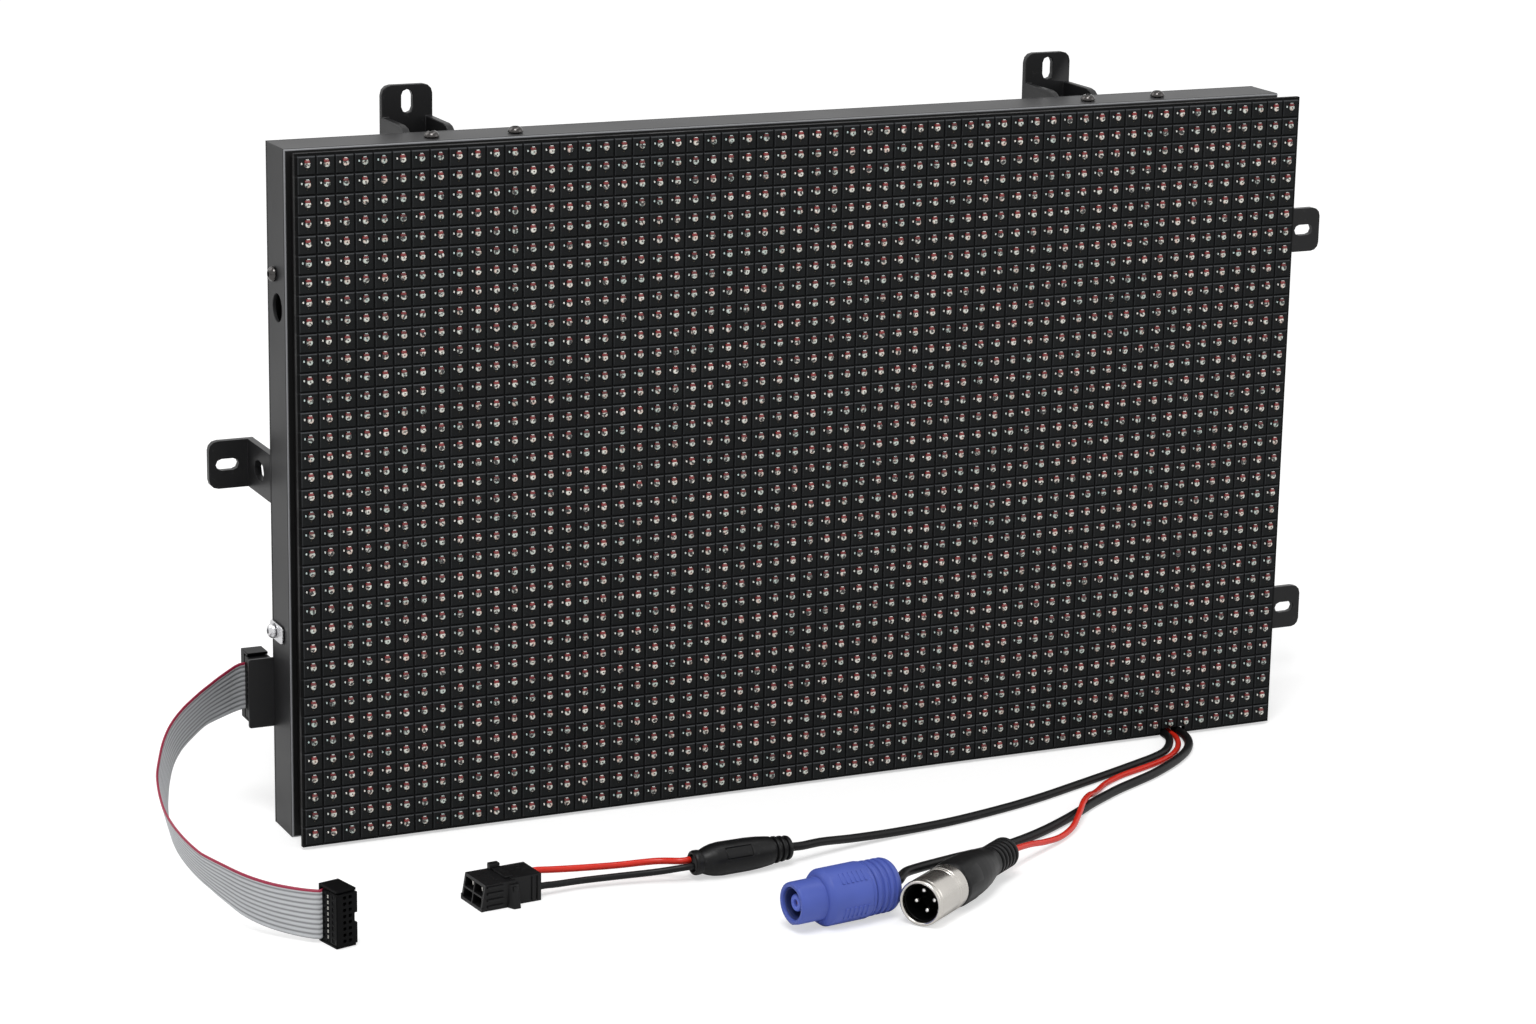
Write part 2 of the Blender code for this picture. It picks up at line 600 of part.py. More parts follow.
def top_bracket(side, x, holes):
    """A folded hat section: two feet, two cheeks and a tab that rises behind the housing's top."""
    half, thick = TOP_TAB_WIDTH / 2, BRACKET_THICKNESS
    foot = half + TOP_FOOT
    front = BRACKET_FACE
    hat = [(-foot, front), (-half + thick, front), (-half + thick, TAB_FRONT), (half - thick, TAB_FRONT)]
    hat += [(half - thick, front), (foot, front), (foot, front + thick), (half, front + thick)]
    hat += [(half, TAB_BACK), (-half, TAB_BACK), (-half, front + thick), (-foot, front + thick)]
    hat = [(u + x, v) for u, v in hat]
    low, top = HOUSING_HEIGHT - TOP_BRACKET_DROP, HOUSING_HEIGHT + TOP_TAB_RISE
    bracket = add(f"top_bracket_{side}", prism(hat, "Z", low, top), bracket_steel)
    shoulder = HOUSING_HEIGHT - 2 * MM
    face = [(x - foot - MM, low - MM), (x + foot + MM, low - MM)]
    face += [(x + foot + MM, shoulder), (x + half, shoulder)]
    face += arc((x + half - TAB_CORNER, top - TAB_CORNER), TAB_CORNER, 0, 90, 3)
    face += arc((x - half + TAB_CORNER, top - TAB_CORNER), TAB_CORNER, 90, 180, 3)
    face += [(x - half, shoulder), (x - foot - MM, shoulder)]
    combine(bracket, add(f"{side}_tab_outline", prism(face, "Y", 0, TAB_BACK + MM), None), "INTERSECT")
    cheek = HOUSING_HEIGHT + TOP_CHEEK_RISE
    corner = TOP_CHEEK_CORNER
    flank = [(front - MM, low - MM), (TAB_BACK + MM, low - MM)]
    flank += [(TAB_BACK + MM, top + MM), (TAB_FRONT, top + MM)]
    flank += [(TAB_FRONT, cheek)] + arc((front + corner, cheek - corner), corner, 90, 180, 4)
    flank += [(front - MM, cheek - corner)]
    reach = foot + 2 * MM
    combine(bracket, add(f"{side}_cheek_outline", prism(flank, "X", x - reach, x + reach), None), "INTERSECT")
    opening = slot((x, HOUSING_HEIGHT + TOP_SLOT_RISE), SLOT_LENGTH, SLOT_WIDTH, upright=True)
    combine(bracket, add(f"{side}_top_slot", prism(opening, "Y", TAB_FRONT - MM, TAB_BACK + MM), None))
    return combine(bracket, holes)


def side_bracket(name, side, z, reach, slot_reach, holes):
    """A Z-shaped strip: a foot on the back, a web level with the housing's side and a slotted tab."""
    edge, thick = HOUSING_WIDTH / 2, BRACKET_THICKNESS
    front = BRACKET_FACE
    strip = [(edge - thick - BRACKET_FOOT, front), (edge, front)]
    strip += [(edge, TAB_FRONT), (edge + reach, TAB_FRONT)]
    strip += [(edge + reach, TAB_BACK), (edge - thick, TAB_BACK), (edge - thick, front + thick)]
    strip += [(edge - thick - BRACKET_FOOT, front + thick)]
    half = SIDE_TAB_HEIGHT / 2
    bracket = add(name, prism([(side * u, v) for u, v in strip], "Z", z - half, z + half), bracket_steel)
    inner = edge - thick - BRACKET_FOOT
    outline = rounded((inner, z - half), (edge + reach, z + half), TAB_CORNER)
    outline = [(side * u, v) for u, v in outline]
    combine(bracket, add(f"{name}_outline", prism(outline, "Y", 0, TAB_BACK + MM), None), "INTERSECT")
    opening = slot((side * (edge + slot_reach), z), SLOT_LENGTH, SLOT_WIDTH)
    combine(bracket, add(f"{name}_slot", prism(opening, "Y", TAB_FRONT - MM, TAB_BACK + MM), None))
    return combine(bracket, holes)


def side_brackets(holes):
    left = side_bracket("left_bracket", -1, LEFT_BRACKET_HEIGHT, LEFT_TAB_REACH, LEFT_SLOT_REACH, holes)
    middle = (BACK_FACE + TAB_FRONT) / 2
    web = slot((middle, LEFT_BRACKET_HEIGHT), LEFT_WEB_HOLE_LENGTH, LEFT_WEB_HOLE_WIDTH)
    edge = -HOUSING_WIDTH / 2
    combine(left, add("left_web_hole", prism(web, "X", edge - MM, edge + BRACKET_THICKNESS + MM), None))
    for place, z in zip(("upper", "lower"), RIGHT_BRACKET_HEIGHTS):
        side_bracket(f"right_bracket_{place}", 1, z, RIGHT_TAB_REACH, RIGHT_SLOT_REACH, holes)


def earth_clip():
    """The bright earthing tag on the left wall, held by its own screw."""
    outer = -HOUSING_WIDTH / 2 - GAP
    low = (CLIP_DEPTH - CLIP_LENGTH / 2, CLIP_HEIGHT - CLIP_WIDTH / 2)
    high = (CLIP_DEPTH + CLIP_LENGTH / 2, CLIP_HEIGHT + CLIP_WIDTH / 2)
    tag = rounded(low, high, CLIP_WIDTH / 4, 3)
    clip = add("earth_clip", prism(tag, "X", outer - CLIP_THICKNESS, outer), bright_tin)
    hole = prism(circle((CLIP_SCREW_DEPTH, CLIP_HEIGHT), SCREW_HOLE_RADIUS), "X", outer - 2 * MM, outer + MM)
    combine(clip, add("clip_hole", hole, None))
    head = screw("earth_screw", (outer - CLIP_THICKNESS, CLIP_SCREW_DEPTH, CLIP_HEIGHT), (-1, 0, 0))
    head.data.materials[0] = bright_tin.copy()
    head.data.materials[0].name = "earth_screw"


def cable_grommet():
    """The oval rubber grommet in the lip, low on the right, that all three round leads come out of."""
    collar_front = FRONT_FACE - GAP - GROMMET_COLLAR
    middle = (OUTLET_X, OUTLET_HEIGHT)
    lip = 2 * GROMMET_LIP
    bm = prism(slot(middle, OUTLET_WIDTH + lip, OUTLET_TALL + lip), "Y", collar_front, FRONT_FACE - GAP)
    face = [f for f in bm.faces if abs(f.calc_center_median().y - FRONT_FACE + GAP) < 0.1 * MM]
    bmesh.ops.inset_region(bm, faces=face, thickness=GROMMET_LIP)
    grown = bmesh.ops.extrude_face_region(bm, geom=face)
    moved = [item for item in grown["geom"] if isinstance(item, bmesh.types.BMVert)]
    bmesh.ops.translate(bm, verts=moved, vec=(0, HOUSING_WALL + 2 * GAP, 0))
    bmesh.ops.delete(bm, geom=face, context="FACES_ONLY")
    return add("cable_grommet", bm, cable_rubber)


def data_header():
    """The low box header on the cover's ear."""
    half = PLUG_LENGTH / 2
    front = BACK_FACE + GAP
    low = (PANEL_PLUG_X - PLUG_WIDTH / 2, front, PANEL_PLUG_HEIGHT - half)
    high = (PANEL_PLUG_X + PLUG_WIDTH / 2, front + HEADER_DEPTH, PANEL_PLUG_HEIGHT + half)
    return add("data_header", box(low, high), plug_plastic)


def plug_body(name, place, length, depth, turn=0.0):
    """A socket body with two rows of contact holes and a key along one side."""
    half_width, half_length = PLUG_WIDTH / 2, length / 2
    body = box((-half_width, 0, -half_length), (half_width, depth, half_length))
    body = add(f"{name}_body", body, plug_plastic)
    holes = bmesh.new()
    for row in range(CONTACT_ROWS):
        for side in (-1, 1):
            u = side * CONTACT_PITCH / 2
            v = (row - (CONTACT_ROWS - 1) / 2) * CONTACT_PITCH
            half = CONTACT_HOLE / 2
            box((u - half, -MM, v - half), (u + half, depth - CONTACT_FLOOR, v + half), holes)
    key = KEY_WIDTH / 2
    box((half_width - KEY_DEPTH, -MM, -key), (half_width + MM, depth - CONTACT_FLOOR, key), holes)
    holes = add(f"{name}_holes", holes, None)
    combine(body, holes)
    for thing in (body, holes):
        laid(thing, place, turn)


def plug_clamp(name, place, length, front, depth, reach, turn=0.0):
    """A bar with an arm at each end that hooks forwards over what it clamps."""
    inner, outer = length / 2 + GAP, length / 2 + PLUG_END
    rear = front + depth
    hook = rear - reach
    staple = [(hook, -outer), (rear, -outer), (rear, outer), (hook, outer), (hook, inner)]
    staple += [(front, inner), (front, -inner), (hook, -inner)]
    clamp = add(name, prism(staple, "X", -PLUG_WIDTH / 2, PLUG_WIDTH / 2), plug_plastic)
    return laid(clamp, place, turn)


def ribbon_plugs():
    """The panel's plug clamps the ribbon behind its body, the free one behind its cap under a relief bar."""
    plug_body("ribbon_plug_panel", PANEL_PLUG_PLACE, PLUG_LENGTH, PLUG_BODY_DEPTH)
    front = PLUG_BODY_DEPTH + 2 * GAP + RIBBON_THICKNESS
    plug_clamp("ribbon_plug_panel_cap", PANEL_PLUG_PLACE, PLUG_LENGTH, front, PLUG_CAP_DEPTH, PLUG_ARM_REACH)
    plug_body("ribbon_plug_free", FREE_PLUG_PLACE, FREE_PLUG_LENGTH, FREE_BODY_DEPTH, FREE_PLUG_TURN)
    half_width, half_length = PLUG_WIDTH / 2, FREE_PLUG_LENGTH / 2
    front = FREE_BODY_DEPTH + GAP
    cap = box((-half_width, front, -half_length), (half_width, front + FREE_CAP_DEPTH, half_length))
    laid(add("ribbon_plug_free_cap", cap, plug_plastic), FREE_PLUG_PLACE, FREE_PLUG_TURN)
    front = FREE_RIBBON_PLANE + RIBBON_THICKNESS / 2 + RELIEF_GAP
    free = ("ribbon_plug_free_relief", FREE_PLUG_PLACE, FREE_PLUG_LENGTH)
    plug_clamp(*free, front, RELIEF_THICKNESS, FREE_ARM_REACH, FREE_PLUG_TURN)


RIBBON_PLANE = PLUG_BODY_DEPTH + GAP + RIBBON_THICKNESS / 2
FREE_RIBBON_PLANE = FREE_BODY_DEPTH + GAP + FREE_CAP_DEPTH + RELIEF_GAP + RIBBON_THICKNESS / 2
PANEL_PLUG_FRONT = BACK_FACE + GAP + HEADER_DEPTH + GAP
PANEL_PLUG_PLACE = Vector((PANEL_PLUG_X, PANEL_PLUG_FRONT, PANEL_PLUG_HEIGHT))
FREE_PLUG_PLACE = Vector((FREE_PLUG_X, FREE_PLUG_FRONT, FREE_HALF_LENGTH))
RIBBON_UPS = (
    (0, (0, 0, 1)),
    (0.05, (0, 0, 1)),
    (0.15, (0, -0.28, 0.95)),
    (0.25, (-0.08, -0.28, 0.95)),
    (0.35, (-0.2, -0.26, 0.95)),
    (0.45, (-0.3, -0.3, 0.9)),
    (0.7, (-0.3, -0.3, 0.9)),
    (0.8, (-0.12, -0.2, 0.97)),
    (0.94, (0, 0, 1)),
    (1, (0, 0, 1)),
)


def ribbon_route():
    """The ribbon's middle line, from the panel's plug round to the free one."""
    half = PLUG_WIDTH / 2
    start = [from_plug(PANEL_PLUG_PLACE, 0, u, RIBBON_PLANE) for u in (half, -half, -half - 4 * MM)]
    start[2] += Vector((0, -0.8, -0.5)) * MM
    ends = (-half - 2 * MM, -half, half)
    end = [from_plug(FREE_PLUG_PLACE, FREE_PLUG_TURN, u, FREE_RIBBON_PLANE) for u in ends]
    free = in_mm(
        (-252.5, 17.5, 56),
        (-261, 11.5, 54.5),
        (-269, 5, 52),
        (-276.5, -2.5, 49.5),
        (-283, -11, 46.5),
        (-288, -20, 43),
        (-292, -29.5, 39.5),
        (-295.5, -39.5, 36),
        (-297.5, -49.5, 32),
        (-298.5, -60, 28.5),
        (-298, -70.5, 25.5),
        (-296, -81, 22.5),
        (-293, -91, 20),
        (-289, -101, 18),
        (-283.6, -110.8, 15.5),
        (-276.3, -119.2, 13.4),
        (-268.2, -126.4, 12.2),
    )
    return start + free + end


def ribbon_up(share):
    """The way across the ribbon, towards its upper edge, at a share of its length."""
    for (start, first), (end, second) in zip(RIBBON_UPS, RIBBON_UPS[1:]):
        if share <= end:
            return Vector(first).lerp(Vector(second), (share - start) / (end - start))
    return Vector(RIBBON_UPS[-1][1])


def ribbon_cable():
    """A flat strip on edge, which leans outwards where it turns."""
    points = smooth_route(ribbon_route(), 5 * MM)
    last = len(points) - 1
    bm = bmesh.new()
    sections = []
    for i, point in enumerate(points):
        along = (points[min(i + 1, last)] - points[max(i - 1, 0)]).normalized()
        up = ribbon_up(i / last)
        up = (up - along * up.dot(along)).normalized()
        face = along.cross(up)
        half_u, half_v = up * RIBBON_WIDTH / 2, face * RIBBON_THICKNESS / 2
        corners = [point + a * half_u + b * half_v for a, b in ((1, 1), (1, -1), (-1, -1), (-1, 1))]
        sections.append([bm.verts.new(corner) for corner in corners])
    for before, after in zip(sections, sections[1:]):
        for k in range(4):
            bm.faces.new((before[k - 1], before[k], after[k], after[k - 1]))
    bm.faces.new(sections[0])
    bm.faces.new(sections[-1][::-1])
    return add("ribbon_cable", bm, ribbon_grey, smooth=True)


def power_plug():
    """The blue round plug: a shell with a socket nose, its contact post and a grooved cable nut."""
    nut, length, body = POWER_NUT_LENGTH, POWER_PLUG_LENGTH, POWER_PLUG_RADIUS
    groove, pitch = 0.6 * MM, 3 * MM
    profile = [(0, 0), (0, body - 3 * MM), (1.2 * MM, body - 1.6 * MM)]
    for i in range(3):
        start = 2.8 * MM + i * pitch
        ridge = body - 1.2 * MM
        profile += [(start, ridge), (start + groove, body - 2 * MM), (start + 2 * groove, ridge)]
    profile += [(nut - GAP, body - 0.8 * MM), (nut - GAP, 0)]
    laid(add("power_plug_nut", turned(profile), plug_blue, smooth=True), POWER_PLUG_REAR, POWER_PLUG_TURN)

    step = length - POWER_NOSE_LENGTH
    nose, hole, floor = POWER_NOSE_RADIUS, POWER_SOCKET_RADIUS, length - POWER_SOCKET_DEPTH
    profile = [(nut, 0), (nut, body - 0.5 * MM), (nut + MM, body), (step - 3.5 * MM, body)]
    profile += [(step - 1.5 * MM, body - MM), (step, nose + 0.4 * MM), (step, nose)]
    profile += [(length - 0.8 * MM, nose), (length, nose - 0.7 * MM), (length, hole)]
    profile += [(floor, hole), (floor, 0)]
    shell = add("power_plug_shell", turned(profile), plug_blue, smooth=True)
    flutes = bmesh.new()
    for i in range(POWER_GRIP_FLUTES):
        angle = 2 * pi * (i + 0.5) / POWER_GRIP_FLUTES
        middle = (body + 1.1 * MM) * cos(angle), (body + 1.1 * MM) * sin(angle)
        prism(circle(middle, 2 * MM, 8), "X", nut + 3 * MM, step - 5 * MM, flutes)
    cutter = add("power_flutes", flutes, None)
    combine(shell, cutter)
    post, bore = POWER_POST_RADIUS, POWER_POST_RADIUS * 0.5
    tip = length - 2 * MM
    seat = floor + 1.5 * MM
    profile = [(floor + GAP, 0), (floor + GAP, hole - GAP), (seat, hole - GAP), (seat, post)]
    profile += [(tip - 0.4 * MM, post), (tip, post - 0.4 * MM), (tip, bore)]
    profile += [(tip - 5 * MM, bore), (tip - 5 * MM, 0)]
    insert = add("power_plug_insert", turned(profile, 16), plug_blue, smooth=True)
    for thing in (shell, cutter, insert):
        laid(thing, POWER_PLUG_REAR, POWER_PLUG_TURN)


def signal_plug():
    """The metal round plug: a ribbed boot, a bright shell and an insert with its contact pins."""
    boot, end, full = SIGNAL_BOOT_LENGTH, SIGNAL_BOOT_END, SIGNAL_PLUG_RADIUS
    profile = [(0, 0), (0, end - 0.8 * MM), (0.6 * MM, end)]
    for i in range(5):
        start = 1.6 * MM + i * 2.9 * MM
        profile += [(start, end), (start + 0.9 * MM, end - MM), (start + 1.8 * MM, end)]
    profile += [(16 * MM, end), (21 * MM, end + 1.3 * MM), (30 * MM, full - 0.5 * MM), (36 * MM, full)]
    profile += [(boot - 1.5 * MM, full), (boot - GAP, full - 0.6 * MM), (boot - GAP, 0)]
    boot_piece = add("signal_plug_boot", turned(profile, 16), cable_rubber, smooth=True)
    laid(boot_piece, SIGNAL_PLUG_REAR, SIGNAL_PLUG_TURN)

    mouth = boot + SIGNAL_SHELL_LENGTH
    inner = full - SIGNAL_SHELL_WALL
    floor = mouth - SIGNAL_CAVITY_DEPTH - SIGNAL_INSERT_DEPTH
    groove = boot + 7 * MM
    profile = [(boot, 0), (boot, full - 0.3 * MM), (boot + 0.4 * MM, full), (groove, full)]
    sunk = full - 0.3 * MM
    profile += [(groove + 0.3 * MM, sunk), (groove + 0.9 * MM, sunk), (groove + 1.2 * MM, full)]
    profile += [(mouth - 0.6 * MM, full), (mouth, full - 0.5 * MM)]
    profile += [(mouth, inner + 0.3 * MM), (mouth - 0.4 * MM, inner)]
    profile += [(floor, inner), (floor, 0)]
    shell = add("signal_plug_shell", turned(profile), nickel, smooth=True)
    face = floor + SIGNAL_INSERT_DEPTH
    bm = turned([(floor + GAP, 0), (floor + GAP, inner - GAP), (face, inner - GAP), (face, 0)])
    insert = add("signal_plug_insert", bm, plug_plastic, smooth=True)
    laid(shell, SIGNAL_PLUG_REAR, SIGNAL_PLUG_TURN)
    laid(insert, SIGNAL_PLUG_REAR, SIGNAL_PLUG_TURN)
    for i in range(SIGNAL_PIN_COUNT):
        angle = 2 * pi * i / SIGNAL_PIN_COUNT + SIGNAL_PIN_TURN
        radius, tip = SIGNAL_PIN_RADIUS, face + GAP + SIGNAL_PIN_LENGTH
        profile = [(face + GAP, 0), (face + GAP, radius), (tip - 0.7 * MM, radius)]
        profile += [(tip, radius * 0.4), (tip, 0)]
        bm = turned(profile, 10)
        spot = (0, SIGNAL_PIN_CIRCLE * cos(angle), SIGNAL_PIN_CIRCLE * sin(angle))
        bmesh.ops.translate(bm, verts=bm.verts, vec=spot)
        laid(add(f"signal_plug_pin_{i + 1}", bm, nickel, smooth=True), SIGNAL_PLUG_REAR, SIGNAL_PLUG_TURN)


def splitter_boot():
    """The moulded joint where the round lead parts into two wires, with ribs at its cable end."""
    end, full, length = SPLITTER_END, SPLITTER_RADIUS, SPLITTER_LENGTH
    profile = [(0, 0), (0, end - 0.6 * MM), (0.5 * MM, end)]
    for i in range(3):
        start = 2 * MM + i * 2.6 * MM
        profile += [(start, end + 0.3 * MM), (start + 0.75 * MM, end - 0.5 * MM)]
        profile += [(start + 1.5 * MM, end + 0.4 * MM)]
    profile += [(11 * MM, end + 1.3 * MM), (17 * MM, full), (30 * MM, full), (38 * MM, full - 1.4 * MM)]
    profile += [(length - 1.5 * MM, end), (length, end - MM), (length, 0)]
    boot = add("splitter_boot", turned(profile, 16), cable_rubber, smooth=True)
    return laid(boot, SPLITTER_REAR, SPLITTER_TURN)


def dc_plug():
    """The black plug: a mouth with four cavities, a latch lug at the front and a tab on top."""
    half, tall, length = DC_PLUG_WIDTH / 2, DC_PLUG_HEIGHT, DC_PLUG_LENGTH
    rear = 13 * MM
    plug = add("dc_plug_housing", box((0, -half + 1.2 * MM, 0), (rear, half - 1.2 * MM, tall)), plug_plastic)
    mouth = tool_box("dc_mouth", (rear - MM, -half, 0), (length, half, tall - 0.6 * MM))
    lug = bmesh.new()
    wedge = [(rear - 3 * MM, half - 2 * MM), (rear + 4 * MM, half - 2 * MM)]
    wedge += [(rear + 1.5 * MM, half + 3.5 * MM), (rear - 1.5 * MM, half + 3.5 * MM)]
    prism(wedge, "Z", 0, 7.5 * MM, lug)
    lug = add("dc_lug", lug, None)
    low, high = (rear - 1.5 * MM, -half, tall - 3 * MM), (rear + 3 * MM, 3 * MM - half, tall + 2 * MM)
    tab = tool_box("dc_tab", low, high)
    for piece in (mouth, lug, tab):
        combine(plug, piece, "UNION")
    cavities = bmesh.new()
    wall, middle = 1.2 * MM, tall / 2 - 0.3 * MM
    levels = ((wall, middle - wall / 2), (middle + wall / 2, tall - 0.6 * MM - wall))
    for side in (-1, 1):
        inner, outer = sorted((side * wall / 2, side * (half - wall)))
        for low, high in levels:
            box((length - 9 * MM, inner, low), (length + MM, outer, high), cavities)
    for low in (2.5 * MM, 5 * MM):
        box((rear + 4.5 * MM, half - 0.6 * MM, low), (length - 2 * MM, half + MM, low + MM), cavities)
    cutter = add("dc_cavities", cavities, None)
    combine(plug, cutter)
    for thing in (plug, mouth, lug, tab, cutter):
        laid(thing, DC_PLUG_REAR, DC_PLUG_TURN)


def from_plug(rear, turn, along, across=0.0, rise=0.0):
    """A point given in a plug's own directions: along its axis, across it and up."""
    return rear + Matrix.Rotation(turn, 3, "Z") @ Vector((along, across, rise))


def outlet_start(x, radius):
    """The first points of a lead: out of the grommet, down to the floor and forwards under the mask."""
    front = FRONT_FACE - GAP - GROMMET_COLLAR - GAP
    rest = radius + 0.05 * MM
    high = OUTLET_HEIGHT
    return [
        Vector((x, front, high)),
        Vector((x, front - 2.5 * MM, high - 0.2 * MM)),
        Vector((x, front - 7 * MM, (high + rest) / 2)),
        Vector((x, front - 11 * MM, rest)),
    ]


POWER_ROUTE = (
    (184.6, -34, 2.05),
    (180.8, -44.5, 2.05),
    (174, -54, 2.05),
    (165.5, -62, 2.05),
    (156.5, -68.8, 2.05),
    (143.8, -77, 2.05),
    (131.5, -83.5, 2.05),
    (119.5, -89.5, 2.05),
    (108.5, -96, 2.05),
    (98, -102.6, 2.05),
    (87, -110.5, 2.05),
    (74.6, -118.6, 2.05),
    (59, -127.6, 2.05),
    (42, -136.3, 2.6),
    (24, -145.2, 4.2),
    (8, -153.4, 6.6),
    (-6, -161, 8.6),
    (-17.8, -167, 10),
    (-27.6, -172.8, 11),
)
SIGNAL_ROUTE = (
    (180.4, -34, 1.35),
    (175.6, -44, 1.35),
    (168.2, -53, 1.35),
    (158.5, -60.2, 1.35),
    (146, -66, 1.35),
    (131, -72, 1.35),
    (118.4, -79.2, 1.35),
    (110, -87, 1.7),
    (103.5, -94.2, 3.2),
    (97, -101.4, 5.4),
    (89.6, -110, 6.1),
    (82.6, -119, 4.8),
    (74.5, -128, 2.6),
    (64, -136.5, 2.3),
    (52.5, -143.8, 4),
    (42, -150.2, 6.4),
)
DC_ROUTE = (
    (176.4, -34, 1.85),
    (171.4, -43, 1.85),
    (163.8, -51.4, 1.85),
    (155, -56.8, 1.85),
    (145.5, -61, 1.85),
    (125.5, -69.4, 1.85),
    (104, -78, 1.85),
    (81.3, -86.8, 1.85),
    (59, -93.8, 1.85),
    (31, -100.4, 1.85),
    (4, -105, 2.4),
    (-19, -109.4, 3.9),
    (-36, -113.8, 6),
)
RED_WIRE_ROUTE = ((-111, -112.9, 7.2), (-128, -110.6, 6.9), (-144, -108.6, 7.2), (-155, -107.8, 7.8))
BLACK_WIRE_ROUTE = ((-113, -118.2, 4.6), (-129.6, -115, 3.8), (-144, -113.7, 3.6), (-155, -114.6, 3.9))
OUTLET_SPACING = 3.8 * MM


def leads():
    """The three leads from the grommet to their plugs."""
    plug, turn = POWER_PLUG_REAR, POWER_PLUG_TURN
    route = outlet_start(OUTLET_X + OUTLET_SPACING, POWER_LEAD_RADIUS) + in_mm(*POWER_ROUTE)
    route += [from_plug(plug, turn, -4.5 * MM, -0.6 * MM), from_plug(plug, turn, -GAP)]
    round_lead("power_cable", route, POWER_LEAD_RADIUS, cable_rubber)

    plug, turn = SIGNAL_PLUG_REAR, SIGNAL_PLUG_TURN
    route = outlet_start(OUTLET_X, SIGNAL_LEAD_RADIUS) + in_mm(*SIGNAL_ROUTE)
    route += [from_plug(plug, turn, -8 * MM, 0, -1.2 * MM), from_plug(plug, turn, -GAP)]
    round_lead("signal_cable", route, SIGNAL_LEAD_RADIUS, red_sheath)

    plug, turn = SPLITTER_REAR, SPLITTER_TURN
    route = outlet_start(OUTLET_X - OUTLET_SPACING, DC_LEAD_RADIUS) + in_mm(*DC_ROUTE)
    route += [from_plug(plug, turn, -6 * MM, 0, -0.3 * MM), from_plug(plug, turn, -GAP)]
    round_lead("dc_cable", route, DC_LEAD_RADIUS, cable_rubber)


def wires():
    """The two wires from the splitter to the plug with the lug."""
    apart = DC_WIRE_RADIUS + 0.4 * MM
    out = SPLITTER_LENGTH + GAP
    ends = (
        ("dc_wire_red", red_sheath, RED_WIRE_ROUTE, (-apart, MM), (-4 * MM, 8.3 * MM)),
        ("dc_wire_black", cable_rubber, BLACK_WIRE_ROUTE, (apart, -0.6 * MM), (3.4 * MM, 4.2 * MM)),
    )
    for name, material, middle, first, last in ends:
        start = [from_plug(SPLITTER_REAR, SPLITTER_TURN, out + s, *first) for s in (0, 4 * MM)]
        end = [from_plug(DC_PLUG_REAR, DC_PLUG_TURN, -s, *last) for s in (4 * MM, GAP)]
        round_lead(name, start + in_mm(*middle) + end, DC_WIRE_RADIUS, material)


def power_supply():
    """The slim supply on the cover's inner face, with its terminal block."""
    (x, z), (width, depth, height) = SUPPLY_PLACE, SUPPLY_SIZE
    back = COVER_FRONT - GAP
    bm = box((x - width / 2, back - depth, z - height / 2), (x + width / 2, back, z + height / 2))
    supply = add("power_supply", bm, bright_tin)
    fins = bmesh.new()
    for i in range(9):
        left = x - width / 2 + 12 * MM + i * 12 * MM
        right, face = left + 5 * MM, back - depth
        box((left, face - MM, z - height / 3), (right, face + MM, z + height / 3), fins)
    return combine(supply, add("supply_vents", fins, None))


def receiving_card():
    """The control card on its four posts, with its main chip and its connectors."""
    (x, z), (width, thick, height) = CARD_PLACE, CARD_SIZE
    back = COVER_FRONT - GAP
    front = back - CARD_POST_HEIGHT
    low, high = (x - width / 2, front - thick, z - height / 2), (x + width / 2, front, z + height / 2)
    card = add("receiving_card", box(low, high), board_green)
    posts = bmesh.new()
    for dx in (-1, 1):
        for dz in (-1, 1):
            spot = (x + dx * (width / 2 - 6 * MM), z + dz * (height / 2 - 6 * MM))
            prism(circle(spot, CARD_POST_RADIUS, 8), "Y", front - thick / 2, back, posts)
    combine(card, add("card_posts", posts, None), "UNION")
    parts = bmesh.new()
    top = front - thick
    box((x - 12 * MM, top - 2 * MM, z - 12 * MM), (x + 12 * MM, top + MM, z + 12 * MM), parts)
    box((x + 26 * MM, top - 6 * MM, z - 9 * MM), (x + 50 * MM, top + MM, z + 9 * MM), parts)
    for i in range(3):
        left = x - width / 2 + 8 * MM
        low = z - 26 * MM + i * 20 * MM
        box((left, top - 4 * MM, low), (left + 9 * MM, top + MM, low + 14 * MM), parts)
    return combine(card, add("card_parts", parts, None), "UNION")


def build():
    wall_holes = screw_holes()
    foot_holes = bracket_holes()
    front_mask()
    led_board()
    module_carrier()
    housing_frame(wall_holes)
    rear_cover(wall_holes, foot_holes)
    wall_screws()
    for side, x in zip(("left", "right"), TOP_BRACKET_X):
        top_bracket(side, x, foot_holes)
    side_brackets(foot_holes)
    bracket_screws()
    earth_clip()
    cable_grommet()
    data_header()
    ribbon_plugs()
    ribbon_cable()
    power_plug()
    signal_plug()
    splitter_boot()
    dc_plug()
    leads()
    wires()
    power_supply()
    receiving_card()


build()
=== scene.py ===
"""Looks of the LED matrix panel: tile mask, LEDs, steel, plugs, leads, stage and camera."""

from math import cos, pi, radians, sin

import bmesh
import bpy
from bpy.props import FloatProperty, FloatVectorProperty, IntProperty, PointerProperty
from mathutils import Matrix, Vector

